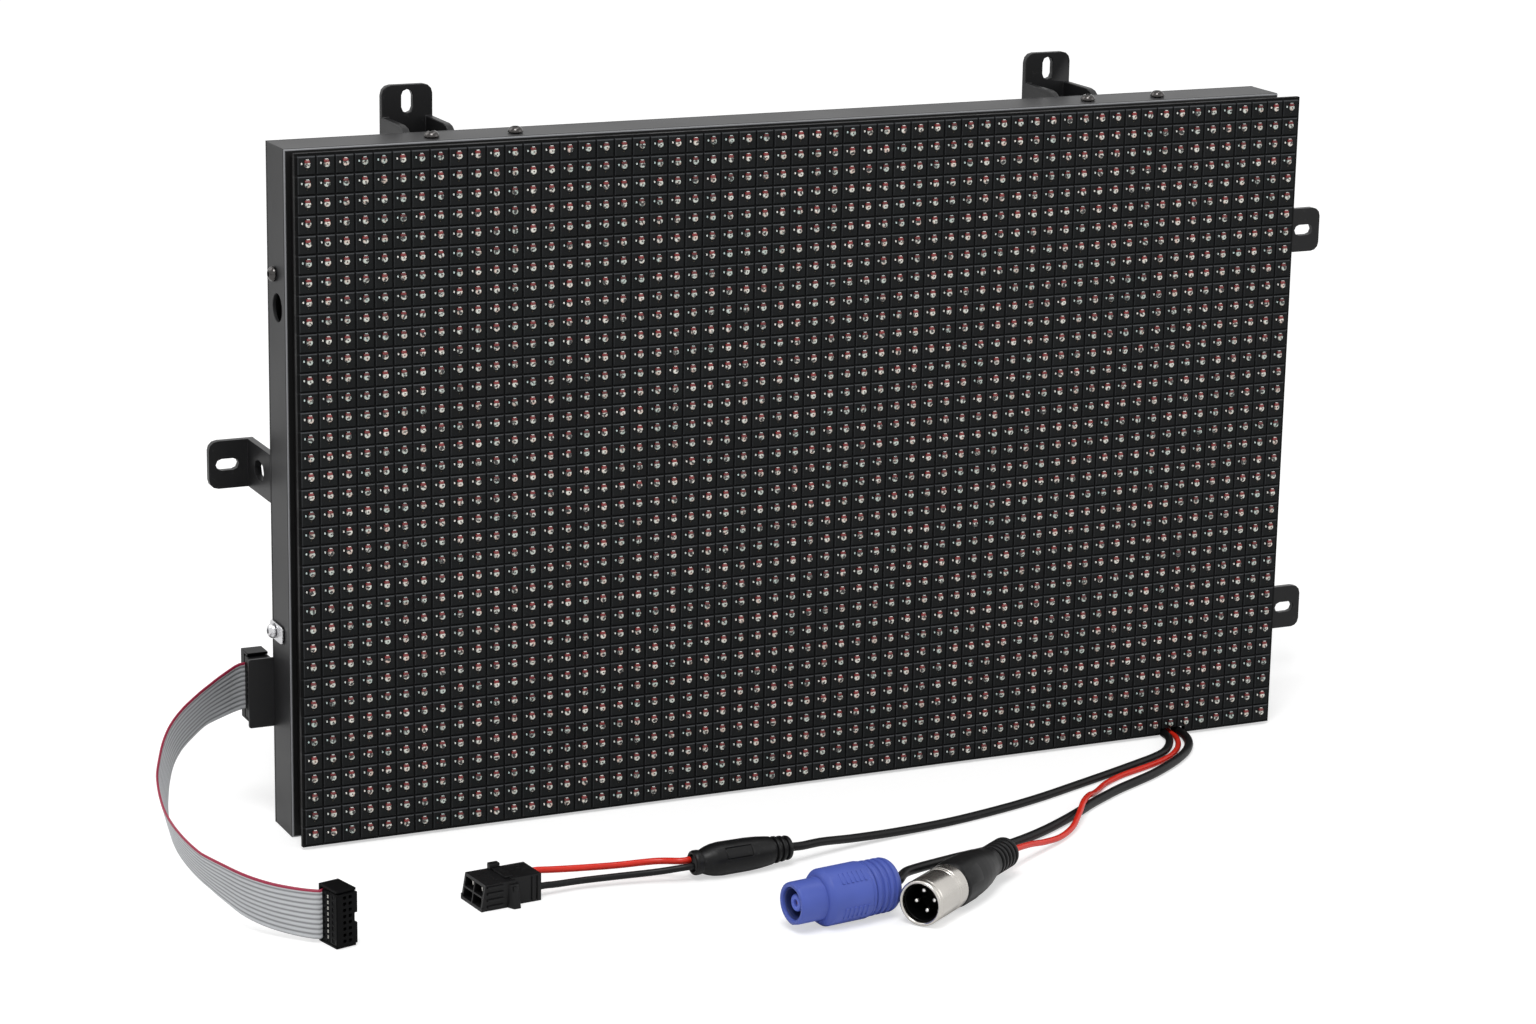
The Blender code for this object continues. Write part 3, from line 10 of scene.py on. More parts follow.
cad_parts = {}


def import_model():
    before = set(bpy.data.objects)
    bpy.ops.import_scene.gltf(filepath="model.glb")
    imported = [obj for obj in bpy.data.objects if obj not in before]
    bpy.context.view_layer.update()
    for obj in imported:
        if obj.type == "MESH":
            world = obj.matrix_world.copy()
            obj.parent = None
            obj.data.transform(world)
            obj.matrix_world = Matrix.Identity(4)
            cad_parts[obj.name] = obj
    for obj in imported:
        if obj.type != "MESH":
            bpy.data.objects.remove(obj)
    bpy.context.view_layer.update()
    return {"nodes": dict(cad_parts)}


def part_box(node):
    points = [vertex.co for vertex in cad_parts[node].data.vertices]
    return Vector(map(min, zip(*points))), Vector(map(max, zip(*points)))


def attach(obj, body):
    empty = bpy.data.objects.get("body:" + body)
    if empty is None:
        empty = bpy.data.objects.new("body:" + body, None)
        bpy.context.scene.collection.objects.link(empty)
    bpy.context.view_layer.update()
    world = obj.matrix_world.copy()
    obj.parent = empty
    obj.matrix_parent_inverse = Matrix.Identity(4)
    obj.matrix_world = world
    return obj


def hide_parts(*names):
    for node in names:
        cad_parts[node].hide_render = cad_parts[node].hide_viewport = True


bl_info = {
    "name": "LED matrix panel",
    "version": (1, 0, 0),
    "blender": (4, 5, 0),
    "location": "View3D > Sidebar > LED panel",
    "description": "Dresses the packed LED matrix panel with its tiles, LEDs, plugs and leads",
    "category": "Object",
}

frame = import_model()
MM = 0.001
GAP = 0.3 * MM
MERGE = 0.01 * MM
ORDER = Vector((0.83, 0.47, 0.31))


def tone(red, green, blue):
    """A colour as a screen shows it, 0 to 255, made linear."""
    levels = (value / 255 for value in (red, green, blue))
    return tuple(v / 12.92 if v <= 0.04045 else ((v + 0.055) / 1.055) ** 2.4 for v in levels)


def length_property(name, description, default):
    settings = {"name": name, "description": description, "default": default}
    return FloatProperty(unit="LENGTH", precision=5, **settings)


def colour_property(name, description, default):
    settings = {"name": name, "description": description, "default": default}
    return FloatVectorProperty(subtype="COLOR", size=3, min=0, max=1, **settings)


def level_property(name, description, default):
    return FloatProperty(name=name, description=description, default=default, min=0)


# Settings


class TileSettings(bpy.types.PropertyGroup):
    columns: IntProperty(name="Columns", description="LEDs across", default=58, min=1)
    rows: IntProperty(name="Rows", description="LEDs up", default=36, min=1)
    pitch: length_property("Pitch", "Distance between two LEDs", 8 * MM)
    rise: length_property("Rise", "Height of the lowest tile's lower edge", 2 * MM)
    groove: length_property("Groove", "Half the width of a groove between two tiles", 0.3 * MM)
    slope: length_property("Slope", "Width of a tile's sloping edge", 0.45 * MM)
    crown: length_property("Crown", "Height of a tile above its groove", 0.75 * MM)
    colour: colour_property("Tile colour", "Moulded mask plastic", tone(24, 24, 25))
    lens_radius: length_property("Lens radius", "Radius of an LED's clear lens", 1.45 * MM)
    # painted highlight: the pale colour of the ring painted in each lens
    lens_highlight: colour_property("Lens colour", "Highlights in the lens", tone(232, 230, 220))
    lens_heart: colour_property("Lens centre", "Dark cup seen through the lens", tone(30, 30, 30))
    red_colour: colour_property("Red chip", "Dark red cap above the lens", tone(112, 20, 22))
    # also the colour of the painted highlight strips above the red chips
    pad_and_highlight_colour: colour_property("Pad colour", "Small pale pads beside the lens", tone(226, 222, 216))
    # painted shade: the carrier is near-black so that it stands for the shade in the recess between
    # frame and mask
    recess_shade: colour_property("Carrier colour", "Module carrier behind the mask", tone(9, 9, 9))
    dot_colour: colour_property("Dot colour", "Small brown dot below the lens", tone(66, 60, 48))


class SteelSettings(bpy.types.PropertyGroup):
    coat: colour_property("Housing coat", "Black powder coat", tone(33, 33, 34))
    bracket: colour_property("Bracket coat", "Black powder coat of the brackets", tone(26, 26, 27))
    edge: length_property("Edge radius", "Rounding of the folded steel's edges", 0.35 * MM)
    screw: colour_property("Screw finish", "Black nickel", tone(78, 76, 75))
    tin: colour_property("Bright plate", "Plated steel of the earth tag", tone(214, 214, 216))


class LeadSettings(bpy.types.PropertyGroup):
    power: length_property("Power lead", "Diameter of the lead to the blue plug", 4 * MM)
    supply: length_property("Low voltage lead", "Diameter of the lead to the splitter", 3.6 * MM)
    signal: length_property("Signal lead", "Diameter of the red lead", 2.6 * MM)
    wire: length_property("Wire", "Diameter of the two wires beyond the splitter", 2.8 * MM)
    black: colour_property("Black sheath", "Black lead sheath", tone(13, 13, 14))
    red: colour_property("Red sheath", "Red lead and wire sheath", tone(216, 44, 28))
    ribbon_width: length_property("Ribbon width", "Width of the ribbon", 20.3 * MM)
    ribbon: colour_property("Ribbon colour", "Grey ribbon", tone(196, 198, 201))
    ribbon_edge: colour_property("Marked edge", "Red first conductor", tone(150, 30, 62))


class PlugSettings(bpy.types.PropertyGroup):
    blue: colour_property("Blue plug", "Blue moulded plastic", tone(78, 94, 173))
    black: colour_property("Black plugs", "Black plastic of the ribbon plugs", tone(8, 8, 9))
    housing: colour_property("Two-way plug", "Black plastic of the two-way plug", tone(17, 17, 18))
    nickel: colour_property("Nickel", "Plated shell of the round metal plug", tone(205, 201, 195))
    gold: colour_property("Contacts", "Contact springs", tone(214, 212, 206))
    copper: colour_property("Middle contact", "Contact in the blue plug's post", tone(186, 128, 116))
    pin: colour_property("Pins", "Pins of the metal plug", tone(226, 224, 220))


class StageSettings(bpy.types.PropertyGroup):
    floor: colour_property("Floor colour", "Floor and backdrop", (0.93, 0.93, 0.93))
    floor_radius: length_property("Floor radius", "Radius of the round floor", 9)
    shadow_share: level_property("Shadow share", "Depth of the floor's shadows", 0.58)
    glow_near: colour_property("Lift near", "Lift of the floor round the panel", (0.53, 0.53, 0.53))
    glow_far: colour_property("Lift far", "Lift of the floor far away", (0.75, 0.75, 0.75))
    soft_light: level_property("Soft light", "Level of the all-round light", 0.42)
    key_light: level_property("Key light", "Power of the large soft lamp", 30)
    strip_light: level_property("Strip light", "Power of the narrow lamp above", 5)
    rim_light: level_property("Rim light", "Power of the lamp behind", 8)
    fill_light: level_property("Fill light", "Power of the lamp at the right", 6)


# Materials


class Value:
    """A number that varies over a surface; arithmetic on it adds Math nodes."""

    def __init__(self, nodes, socket):
        self.nodes = nodes
        self.socket = socket

    def math(self, operation, *others):
        return self.nodes.math(operation, self, *others)

    def __add__(self, other):
        return self.math("ADD", other)

    def __sub__(self, other):
        return self.math("SUBTRACT", other)

    def __rsub__(self, other):
        return self.nodes.math("SUBTRACT", other, self)

    def __mul__(self, other):
        return self.math("MULTIPLY", other)

    def __truediv__(self, other):
        return self.math("DIVIDE", other)

    def __gt__(self, other):
        return self.math("GREATER_THAN", other)

    def __lt__(self, other):
        return self.math("LESS_THAN", other)

    __radd__ = __add__
    __rmul__ = __mul__

    def clamped(self):
        return self.math("MAXIMUM", 0.0).math("MINIMUM", 1.0)

    def peak(self, middle, reach):
        """How far inside its reach a number lies from a middle one."""
        return reach - (self - middle).math("ABSOLUTE")


class Nodes:
    """A node tree that is put together in steps."""

    def __init__(self, tree):
        self.tree = tree

    def join(self, value, target):
        """Links a value to a socket, or sets the socket to a number or colour."""
        if isinstance(value, Value):
            self.tree.links.new(value.socket, target)
        else:
            target.default_value = value

    def node(self, kind, settings=None, inputs=None, output=0):
        """Adds a node: its settings first, then the values or links of its sockets."""
        made = self.tree.nodes.new(kind)
        for name, value in (settings or {}).items():
            setattr(made, name, value)
        for name, value in (inputs or {}).items():
            self.join(value, made.inputs[name])
        return Value(self, made.outputs[output]) if made.outputs else None

    def math(self, operation, *values):
        return self.node("ShaderNodeMath", {"operation": operation}, dict(enumerate(values)))

    def ray(self, kind):
        """Whether the ray that sees the surface is of one kind."""
        return self.node("ShaderNodeLightPath", output=f"Is {kind} Ray")


class Finish(Nodes):
    """A Principled material in one colour, to which variation is added."""

    def __init__(self, name, colour, roughness, metallic=0.0, **constants):
        self.material = bpy.data.materials.new(name)
        self.material.use_nodes = True
        super().__init__(self.material.node_tree)
        self.shader = self.tree.nodes["Principled BSDF"]
        self.colour = tuple(colour)
        self.cover((*colour, 1), roughness)
        self.give("Metallic", metallic)
        for socket, value in constants.items():
            self.give(socket.replace("_", " ").title().replace("Ior", "IOR"), value)
        self.place = None

    def give(self, socket, value):
        """Sets one of the shader's sockets, or links it."""
        self.join(value, self.shader.inputs[socket])

    def cover(self, colour, roughness):
        self.give("Base Color", colour)
        self.give("Roughness", roughness)

    def position(self):
        if self.place is None:
            self.place = self.node("ShaderNodeTexCoord", output="Object")
        return self.place

    def axes(self):
        """The x, y and z of the place on the surface."""
        first = self.node("ShaderNodeSeparateXYZ", None, {0: self.position()})
        return tuple(Value(self, socket) for socket in first.socket.node.outputs)

    def noise(self, scale, detail=2.0, place=None):
        inputs = {"Vector": place or self.position(), "Scale": scale, "Detail": detail}
        return self.node("ShaderNodeTexNoise", None, inputs)

    def stretched(self, scale):
        """The place, stretched along an axis, for brushed or drawn surfaces."""
        return self.node("ShaderNodeMapping", None, {"Vector": self.position(), "Scale": scale})

    def blend(self, factor, *colours):
        """Mixes two colours."""
        first, second = (c if isinstance(c, Value) else (*c, 1) for c in colours)
        return self.node("ShaderNodeMix", {"data_type": "RGBA"}, {0: factor, 6: first, 7: second}, 2)

    def shades(self, factor, dark, light):
        """Between a darker and a lighter shade of the material's own colour."""
        return self.blend(factor, darker(self.colour, dark), lighter(self.colour, light))

    def bump(self, height, distance, strength=0.5):
        settings = {"Height": height, "Distance": distance, "Strength": strength}
        self.give("Normal", self.node("ShaderNodeBump", None, settings))


def lighter(colour, amount):
    return tuple(min(1.0, value * (1 + amount) + 0.004 * amount) for value in colour)


def darker(colour, amount):
    return tuple(value * (1 - amount) for value in colour)


COAT_SHINE = 0.24
DUST = (0.14, 0.14, 0.14)


def coated_steel(name, colour, roughness):
    """Satin powder coat: fine orange peel, faint clouding and a little dust."""
    finish = Finish(name, colour, roughness, specular_ior_level=COAT_SHINE)
    cloud = finish.noise(14, 3)
    specks = (finish.noise(420) > 0.69) * 0.35
    tint = finish.blend(specks, finish.shades(cloud * 0.8, 0.14, 0.22), lighter(colour, 1.4))
    finish.cover(tint, roughness - 0.06 + 0.14 * cloud)
    finish.bump(finish.noise(1500, 1), 0.03 * MM)
    return finish.material


def framed_steel(name, colour, roughness):
    """The housing's coat: a pale painted highlight line on its folded front edge, and a dull dark lip
    inside it, which is painted shade.
    """
    finish = Finish(name, colour, roughness, specular_ior_level=COAT_SHINE)
    cloud = finish.noise(22, 3)
    _, y, _ = finish.axes()
    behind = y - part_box("housing_frame")[0][1]
    # painted highlight: a pale line along the rounded front edge
    painted_edge_highlight = (behind.peak(0.35 * MM, 0.35 * MM) / (0.2 * MM)).clamped()
    edged = finish.blend(painted_edge_highlight * 0.85, finish.shades(cloud, 0.1, 0.14), tone(150, 151, 154))
    # painted shade: the front face of the lip near-black, as the recess between frame and mask
    painted_lip_shade = ((0.12 * MM - behind) / (0.08 * MM)).clamped()
    finish.cover(finish.blend(painted_lip_shade * 0.92, edged, tone(6, 6, 6)), roughness - 0.06 + 0.14 * cloud)
    finish.bump(finish.noise(1300), 0.015 * MM)
    return finish.material


def moulded_plastic(name, colour, roughness=0.42, grain=900, depth=0.02, shine=0.2):
    """Moulded plastic: a fine spark-eroded grain and slight shine changes."""
    finish = Finish(name, colour, roughness, specular_ior_level=shine)
    cloud = finish.noise(60)
    finish.cover(finish.shades(cloud, 0.12, 0.16), roughness - 0.07 + 0.14 * cloud)
    finish.bump(finish.noise(grain), depth * MM, 0.6)
    return finish.material


def soft_rubber(name, colour):
    """Extruded or moulded rubber, a little dusty."""
    finish = Finish(name, colour, 0.5, specular_ior_level=0.2)
    cloud = finish.noise(45, 3)
    dust = ((finish.noise(700) - 0.6).clamped() * 1.6).clamped()
    finish.cover(finish.blend(dust * 0.3, finish.shades(cloud, 0.15, 0.3), DUST), 0.3 + 0.16 * cloud)
    finish.bump(finish.noise(2600, 1), 0.01 * MM)
    return finish.material


def sheath(name, colour):
    """Glossy extruded wire sheath with faint length-wise waves."""
    finish = Finish(name, colour, 0.34, specular_ior_level=0.32)
    wave = finish.noise(110)
    finish.cover(finish.shades(wave, 0.16, 0.1), 0.17 + 0.14 * wave)
    finish.bump(finish.noise(500, 1), 0.015 * MM, 0.4)
    return finish.material


def plated_metal(name, colour, roughness=0.24, grain=(1, 1, 1)):
    """Plated metal with fine scratches and soft clouding."""
    finish = Finish(name, colour, roughness, 1.0)
    cloud = finish.noise(85, 3)
    lines = finish.noise(420, 2, finish.stretched(grain))
    finish.cover(finish.shades(cloud, 0.14, 0.05), roughness - 0.05 + 0.1 * cloud + 0.04 * lines)
    finish.bump(lines, 0.003 * MM, 0.15)
    return finish.material


def on_grid(finish, tiles):
    """Across and up on the mask, counted in tiles from its lower left corner."""
    x, _, z = finish.axes()
    return (x + tiles.pitch * tiles.columns / 2) / tiles.pitch, (z - tiles.rise) / tiles.pitch


def own_number(finish, tiles):
    """Each tile's own number between 0 and 1, for small differences from tile to tile."""
    column, row = (count.math("FLOOR") for count in on_grid(finish, tiles))
    index = finish.node("ShaderNodeCombineXYZ", None, {0: column, 1: row})
    return finish.node("ShaderNodeTexWhiteNoise", {"noise_dimensions": "2D"}, {"Vector": index})


def tile_plastic(tiles):
    """Near-black mask plastic, with a pale painted highlight on each tile's upper and left edge, painted
    shade in the grooves and painted shade further back on its sides.
    """
    finish = Finish("mask_plastic", tiles.colour, 0.5, specular_ior_level=0.08)
    own = own_number(finish, tiles)
    cloud = finish.noise(30)
    behind = finish.axes()[1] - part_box("front_mask")[0][1]
    across, up = (count.math("FRACT") for count in on_grid(finish, tiles))
    # painted highlight: the upper and left edge of each tile lighter, as if lit from above and the left
    upper = (up.peak(0.93, 0.05) * 30).clamped()
    left = (across.peak(0.06, 0.035) * 40).clamped()
    painted_edge_highlight = (upper * 0.75 + left * 0.3).clamped() * (0.55 + 0.45 * cloud)
    shade = finish.blend(cloud * 0.5, finish.shades(own, 0.16, 0.22), tone(27, 32, 32))
    shade = finish.blend(painted_edge_highlight, shade, tone(92, 94, 97))
    # painted shade: darker the deeper into the groove between the tiles
    groove = (behind / tiles.crown).clamped()
    shade = finish.blend(groove * 0.85, shade, darker(finish.colour, 0.8))
    # painted shade: darker further back on the mask's sides, towards the recess in the frame
    rear = ((behind - tiles.rise * 3) / tiles.rise).clamped()
    shade = finish.blend(rear * 0.6, shade, darker(finish.colour, 0.7))
    finish.cover(shade, 0.4 + 0.14 * own + 0.1 * cloud)
    finish.bump(finish.noise(1400), 0.02 * MM)
    return finish.material


def from_middle(finish, tiles, across, down):
    """Distance in millimetres from a point that recurs in each tile."""
    u, v = (count.math("FRACT") for count in on_grid(finish, tiles))
    u, v = u - across, v - (1 - down)
    return (u * u + v * v).math("SQRT") * (tiles.pitch / MM)


def lens_clear(tiles):
    """Clear lens over three chips: a pale broken ring of painted highlight in a dark cup, each LED a
    little different.
    """
    coat = {"specular_ior_level": 0.5, "coat_weight": 0.35, "coat_roughness": 0.06}
    finish = Finish("led_lens", tiles.lens_highlight, 0.16, **coat)
    radius = from_middle(finish, tiles, *LENS_PLACE)
    # painted highlight: a pale broken ring round the dark centre, tinted teal or warm from LED to LED
    ring = ((radius - 0.24) * 5).clamped() * ((1.27 - radius) * 7).clamped()
    broken = ((finish.noise(760, 1) - 0.38) * 8).clamped()
    warm_highlight_patch = ((finish.noise(520, 1) - 0.5) * 7).clamped()
    shade = finish.blend(own_number(finish, tiles), tone(184, 200, 192), tiles.lens_highlight)
    shade = finish.blend(warm_highlight_patch * 0.42, shade, tone(206, 138, 112))
    finish.give("Base Color", finish.blend((ring * broken).clamped(), tiles.lens_heart, shade))
    return finish.material


def red_chip(tiles):
    """Dark red cap, a little different on each tile."""
    finish = Finish("led_red", tiles.red_colour, 0.25, coat_weight=0.4)
    own = own_number(finish, tiles)
    finish.cover(finish.shades(own, 0.45, 0.35), 0.2 + 0.2 * own)
    return finish.material


def pad_and_highlight_paint(tiles):
    """Pale pads, and the painted highlight strips above the red chips, a little different on each tile.
    """
    finish = Finish("led_pad_and_highlight", tiles.pad_and_highlight_colour, 0.3)
    own = own_number(finish, tiles)
    finish.cover(finish.blend(own, tone(186, 206, 204), lighter(finish.colour, 0.1)), 0.2 + 0.25 * own)
    return finish.material


def ribbon_sheath(leads):
    """Ten grey conductors side by side, with painted shade in the creases between them and a red stripe
    along the first one.
    """
    finish = Finish("ribbon_sheath", leads.ribbon, 0.42)
    across = finish.node("ShaderNodeAttribute", {"attribute_name": "across"}, output="Fac")
    strand = ((across * CONDUCTORS).math("FRACT") - 0.5).math("ABSOLUTE")
    # painted shade: darker in the creases between the conductors
    crease_shade = ((strand - 0.18) * 4).clamped()
    cloud = finish.noise(38, 3)
    lined = finish.blend(crease_shade * 0.85, finish.shades(cloud, 0.14, 0.06), darker(finish.colour, 0.62))
    marked = across > (1 - 0.5 / CONDUCTORS)
    red = finish.blend(cloud, darker(leads.ribbon_edge, 0.2), lighter(leads.ribbon_edge, 0.2))
    finish.cover(finish.blend(marked, lined, red), 0.34 + 0.16 * cloud)
    return finish.material


def circuit_board(name):
    """Green lacquered board with faint tracks."""
    finish = Finish(name, (0.02, 0.09, 0.05), 0.4)
    x, _, z = finish.axes()
    lines = ((x * 620).math("FRACT") < 0.35) * (finish.noise(50, 1) > 0.52)
    lines_up = ((z * 620).math("FRACT") < 0.35) * (finish.noise(45, 1) < 0.44)
    tracks = (lines + lines_up).clamped()
    finish.give("Base Color", finish.blend(tracks * 0.6, (0.012, 0.075, 0.04), (0.03, 0.16, 0.08)))
    finish.bump(tracks, 0.03 * MM)
    return finish.material


# Mesh helpers


def linked(name, data):
    """A new object in the scene."""
    thing = bpy.data.objects.new(name, data)
    bpy.context.scene.collection.objects.link(thing)
    return thing


def in_order(bm):
    """Stores a shape's parts by place, since some operators leave them in an order that changes."""
    bm.verts.sort(key=lambda vert: vert.co.dot(ORDER))
    for parts in (bm.edges, bm.faces):
        parts.sort(key=lambda part: sum(vert.co.dot(ORDER) for vert in part.verts) / len(part.verts))


def solid(name, bm, material):
    """A bmesh as an object with one material."""
    in_order(bm)
    mesh = bpy.data.meshes.new(name)
    bm.to_mesh(mesh)
    bm.free()
    mesh.materials.append(material)
    return linked(name, mesh)


def publish(name, bm, material, replaces=(), slot=None, smooth=35.0):
    """Makes a bmesh a finished piece on the panel; smooth is an angle, or 0 for flat faces."""
    bmesh.ops.recalc_face_normals(bm, faces=bm.faces)
    piece = solid(name, bm, material)
    if smooth:
        piece.data.shade_smooth()
        piece.data.set_sharp_from_angle(angle=radians(smooth))
    settle(piece, replaces, slot)
    return piece


def settle(piece, replaces=(), slot=None):
    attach(piece, "root")
    if replaces:
        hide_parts(*replaces)


def repaint(node, material):
    """Gives a CAD node a finished material."""
    mesh = frame["nodes"][node].data
    mesh.materials.clear()
    mesh.materials.append(material)


def block(bm, low, high, bevel=0.0, segments=2):
    """Adds a box with rounded edges."""
    low, high = Vector(low), Vector(high)
    place = Matrix.Translation((low + high) / 2) @ Matrix.Diagonal((*(high - low), 1))
    made = bmesh.ops.create_cube(bm, size=1, matrix=place)
    if bevel:
        bevelled(bm, {edge for vert in made["verts"] for edge in vert.link_edges}, bevel, segments)
    return bm


def bevelled(bm, edges, width, segments=2):
    shape = {"offset": width, "segments": segments, "profile": 0.5, "material": -1}
    bmesh.ops.bevel(bm, geom=list(edges), affect="EDGES", **shape)
    return bm


def turned(profile, sides=48):
    """Spins (distance along, radius) points round the X axis. Both ends lie on the axis."""
    bm = bmesh.new()
    points = [bm.verts.new((along, 0, radius)) for along, radius in profile]
    edges = [bm.edges.new(pair) for pair in zip(points, points[1:])]
    around_x = {"cent": (0, 0, 0), "axis": (1, 0, 0), "angle": 2 * pi}
    bmesh.ops.spin(bm, geom=points + edges, steps=sides, use_merge=True, **around_x)
    bmesh.ops.remove_doubles(bm, verts=bm.verts, dist=MERGE)
    return bm


def spun(profile, rounding, sides=64):
    """Spins a profile given in millimetres, with its inner corners rounded."""
    return turned(softened(in_metres(profile), rounding * MM), sides)


def laid(bm, rear, turn):
    """Moves a plug that was modelled from its cable end along the X axis to its place."""
    return moved(bm, Matrix.Translation(rear) @ Matrix.Rotation(turn, 4, "Z"))


def rounded_corner(start, corner, end, radius, steps=3):
    """Points that round a profile's corner, each point given as (along, radius)."""
    corner = Vector(corner)
    first = corner + (Vector(start) - corner).normalized() * radius
    last = corner + (Vector(end) - corner).normalized() * radius
    shares = [i / steps for i in range(steps + 1)]
    return [tuple(first * (1 - t) ** 2 + corner * 2 * t * (1 - t) + last * t**2) for t in shares]


def softened(profile, radius):
    """Rounds every inner corner of a turned profile, less where its sides are short."""
    made = [profile[0]]
    for a, b, c in zip(profile, profile[1:], profile[2:]):
        room = min((Vector(a) - Vector(b)).length, (Vector(c) - Vector(b)).length) * 0.45
        made += rounded_corner(a, b, c, min(radius, room))
    return made + [profile[-1]]


def folded_copy(name, node, material, edge, slot):
    """A CAD node's shape with its edges rounded, as a piece of its own."""
    bm = bmesh.new()
    bm.from_mesh(frame["nodes"][node].data)
    bmesh.ops.remove_doubles(bm, verts=bm.verts, dist=MERGE)
    bmesh.ops.dissolve_limit(bm, angle_limit=radians(1), verts=bm.verts, edges=bm.edges)
    return rounded(publish(name, bm, material, (node,), slot, 30), edge, 2, 50)


# Routes


def smooth_route(route, spacing):
    """Evenly spaced points on a Catmull-Rom curve through a route's own points."""
    ends = [2 * route[0] - route[1], *route, 2 * route[-1] - route[-2]]
    fine = [route[0]]
    for a, b, c, d in zip(ends, ends[1:], ends[2:], ends[3:]):
        for i in range(1, CURVE_STEPS + 1):
            t = i / CURVE_STEPS
            bend = 2 * a - 5 * b + 4 * c - d
            curve = 2 * b + (c - a) * t + bend * t**2 + (3 * b - 3 * c + d - a) * t**3
            fine.append(curve / 2)
    lengths = [0.0]
    for a, b in zip(fine, fine[1:]):
        lengths.append(lengths[-1] + (b - a).length)
    count = max(2, round(lengths[-1] / spacing))
    points = []
    k = 0
    for i in range(count + 1):
        goal = lengths[-1] * i / count
        while k < len(fine) - 2 and lengths[k + 1] < goal:
            k += 1
        share = (goal - lengths[k]) / (lengths[k + 1] - lengths[k])
        points.append(fine[k].lerp(fine[k + 1], share))
    return points


def in_mm(*points):
    return [Vector(point) * MM for point in points]


def route_length(points):
    return sum((b - a).length for a, b in zip(points, points[1:]))


def from_plug(rear, turn, along, across=0.0, rise=0.0):
    """A point given in a plug's own directions: along its axis, across it and up."""
    return rear + Matrix.Rotation(turn, 3, "Z") @ Vector((along, across, rise))


# The leads' outlet
FRONT_FACE = -11.5 * MM
GROMMET_COLLAR = 2.1 * MM
OUTLET_HEIGHT = 5.3 * MM
OUTLET_X = 181.6 * MM
OUTLET_SPACING = 3.8 * MM
OUTLET_NOTCH = 12.8 * MM
OUTLET_NOTCH_TOP = 4.4 * MM
FLOOR_DROP = 0.05 * MM

# Round plugs: each one's rear end and the way it points
POWER_PLUG = (Vector((-39.6 * MM, -183.1 * MM, 11.6 * MM)), radians(188))
SIGNAL_PLUG = (Vector((24 * MM, -162.3 * MM, 9.6 * MM)), radians(214.4))
SPLITTER = (Vector((-53 * MM, -117.4 * MM, 7 * MM)), radians(183.6))
TWO_WAY_PLUG = (Vector((-164.3 * MM, -112 * MM, 0)), radians(186))
SPLITTER_LENGTH = 45 * MM
PIN_CIRCLE = 4.2 * MM
PIN_COUNT = 4
PIN_TURN = radians(12)
BLUE_GRAIN = (1200, 0.015)

# Ribbon and its plugs
PLUG_WIDTH = 9 * MM
PLUG_LENGTH = 27 * MM
PLUG_BODY_DEPTH = 8.3 * MM
PLUG_CAP_DEPTH = 4.4 * MM
PLUG_ARM_REACH = 9 * MM
PLUG_END = GAP + 1.1 * MM
RIBBON_THICKNESS = 1 * MM
PANEL_PLUG_PLACE = Vector((-236 * MM, 11.5 * MM + GAP + 2.4 * MM + GAP, 57.5 * MM))
FREE_PLUG_LENGTH = 20.9 * MM
FREE_PLUG_TURN = radians(14)
FREE_BODY_DEPTH = 5.6 * MM
FREE_CAP_DEPTH = 4.5 * MM
FREE_ARM_REACH = 12.6 * MM
RELIEF_THICKNESS = 1.2 * MM
RELIEF_GAP = 0.5 * MM
FREE_PLUG_PLACE = Vector((-252.33 * MM, -141.2 * MM, FREE_PLUG_LENGTH / 2 + PLUG_END))
RIBBON_PLANE = PLUG_BODY_DEPTH + GAP + RIBBON_THICKNESS / 2
FREE_RIBBON_PLANE = FREE_BODY_DEPTH + GAP + FREE_CAP_DEPTH + RELIEF_GAP + RIBBON_THICKNESS / 2
CONTACT_ROWS = 8
CONTACT_PITCH = 2.54 * MM
CONDUCTORS = 10
WINDOW_DEPTH = 0.9 * MM
WINDOW_BLOCK = 1.2 * MM
CAP_WINDOWS = 7
PROUD = 0.25 * MM
POCKET_DRAFT = 0.04 * MM

# Screws and LEDs
HEAD_HEIGHT = 2.4 * MM
SHANK = 1.5 * MM
SOCKET_DEPTH = 1.3 * MM
LEFTWARDS = (-1, 0, 0)
LENS_PLACE = (0.55, 0.46)
MARK_ROOT = 0.3 * MM

# Routes: points in millimetres, and the ribbon's upward way at shares of its length
CURVE_STEPS = 12
LEAD_SPACING = 2.2 * MM
RIBBON_SPACING = 2.6 * MM
RIBBON_UPS = (
    (0, (0, 0, 1)), (0.05, (0, 0, 1)), (0.15, (0, -0.28, 0.95)), (0.25, (-0.08, -0.28, 0.95)),
    (0.35, (-0.2, -0.26, 0.95)), (0.45, (-0.3, -0.3, 0.9)), (0.7, (-0.3, -0.3, 0.9)),
    (0.8, (-0.12, -0.2, 0.97)), (0.94, (0, 0, 1)), (1, (0, 0, 1)),
)
RIBBON_ROUTE = (
    (-252.5, 17.5, 56), (-261, 11.5, 54.5), (-269, 5, 52), (-276.5, -2.5, 49.5),
    (-283, -11, 46.5), (-288, -20, 43), (-292, -29.5, 39.5), (-295.5, -39.5, 36),
    (-297.5, -49.5, 32), (-298.5, -60, 28.5), (-298, -70.5, 25.5), (-296, -81, 22.5),
    (-293, -91, 20), (-289, -101, 18), (-283.6, -110.8, 15.5), (-276.3, -119.2, 13.4),
    (-268.2, -126.4, 12.2),
)


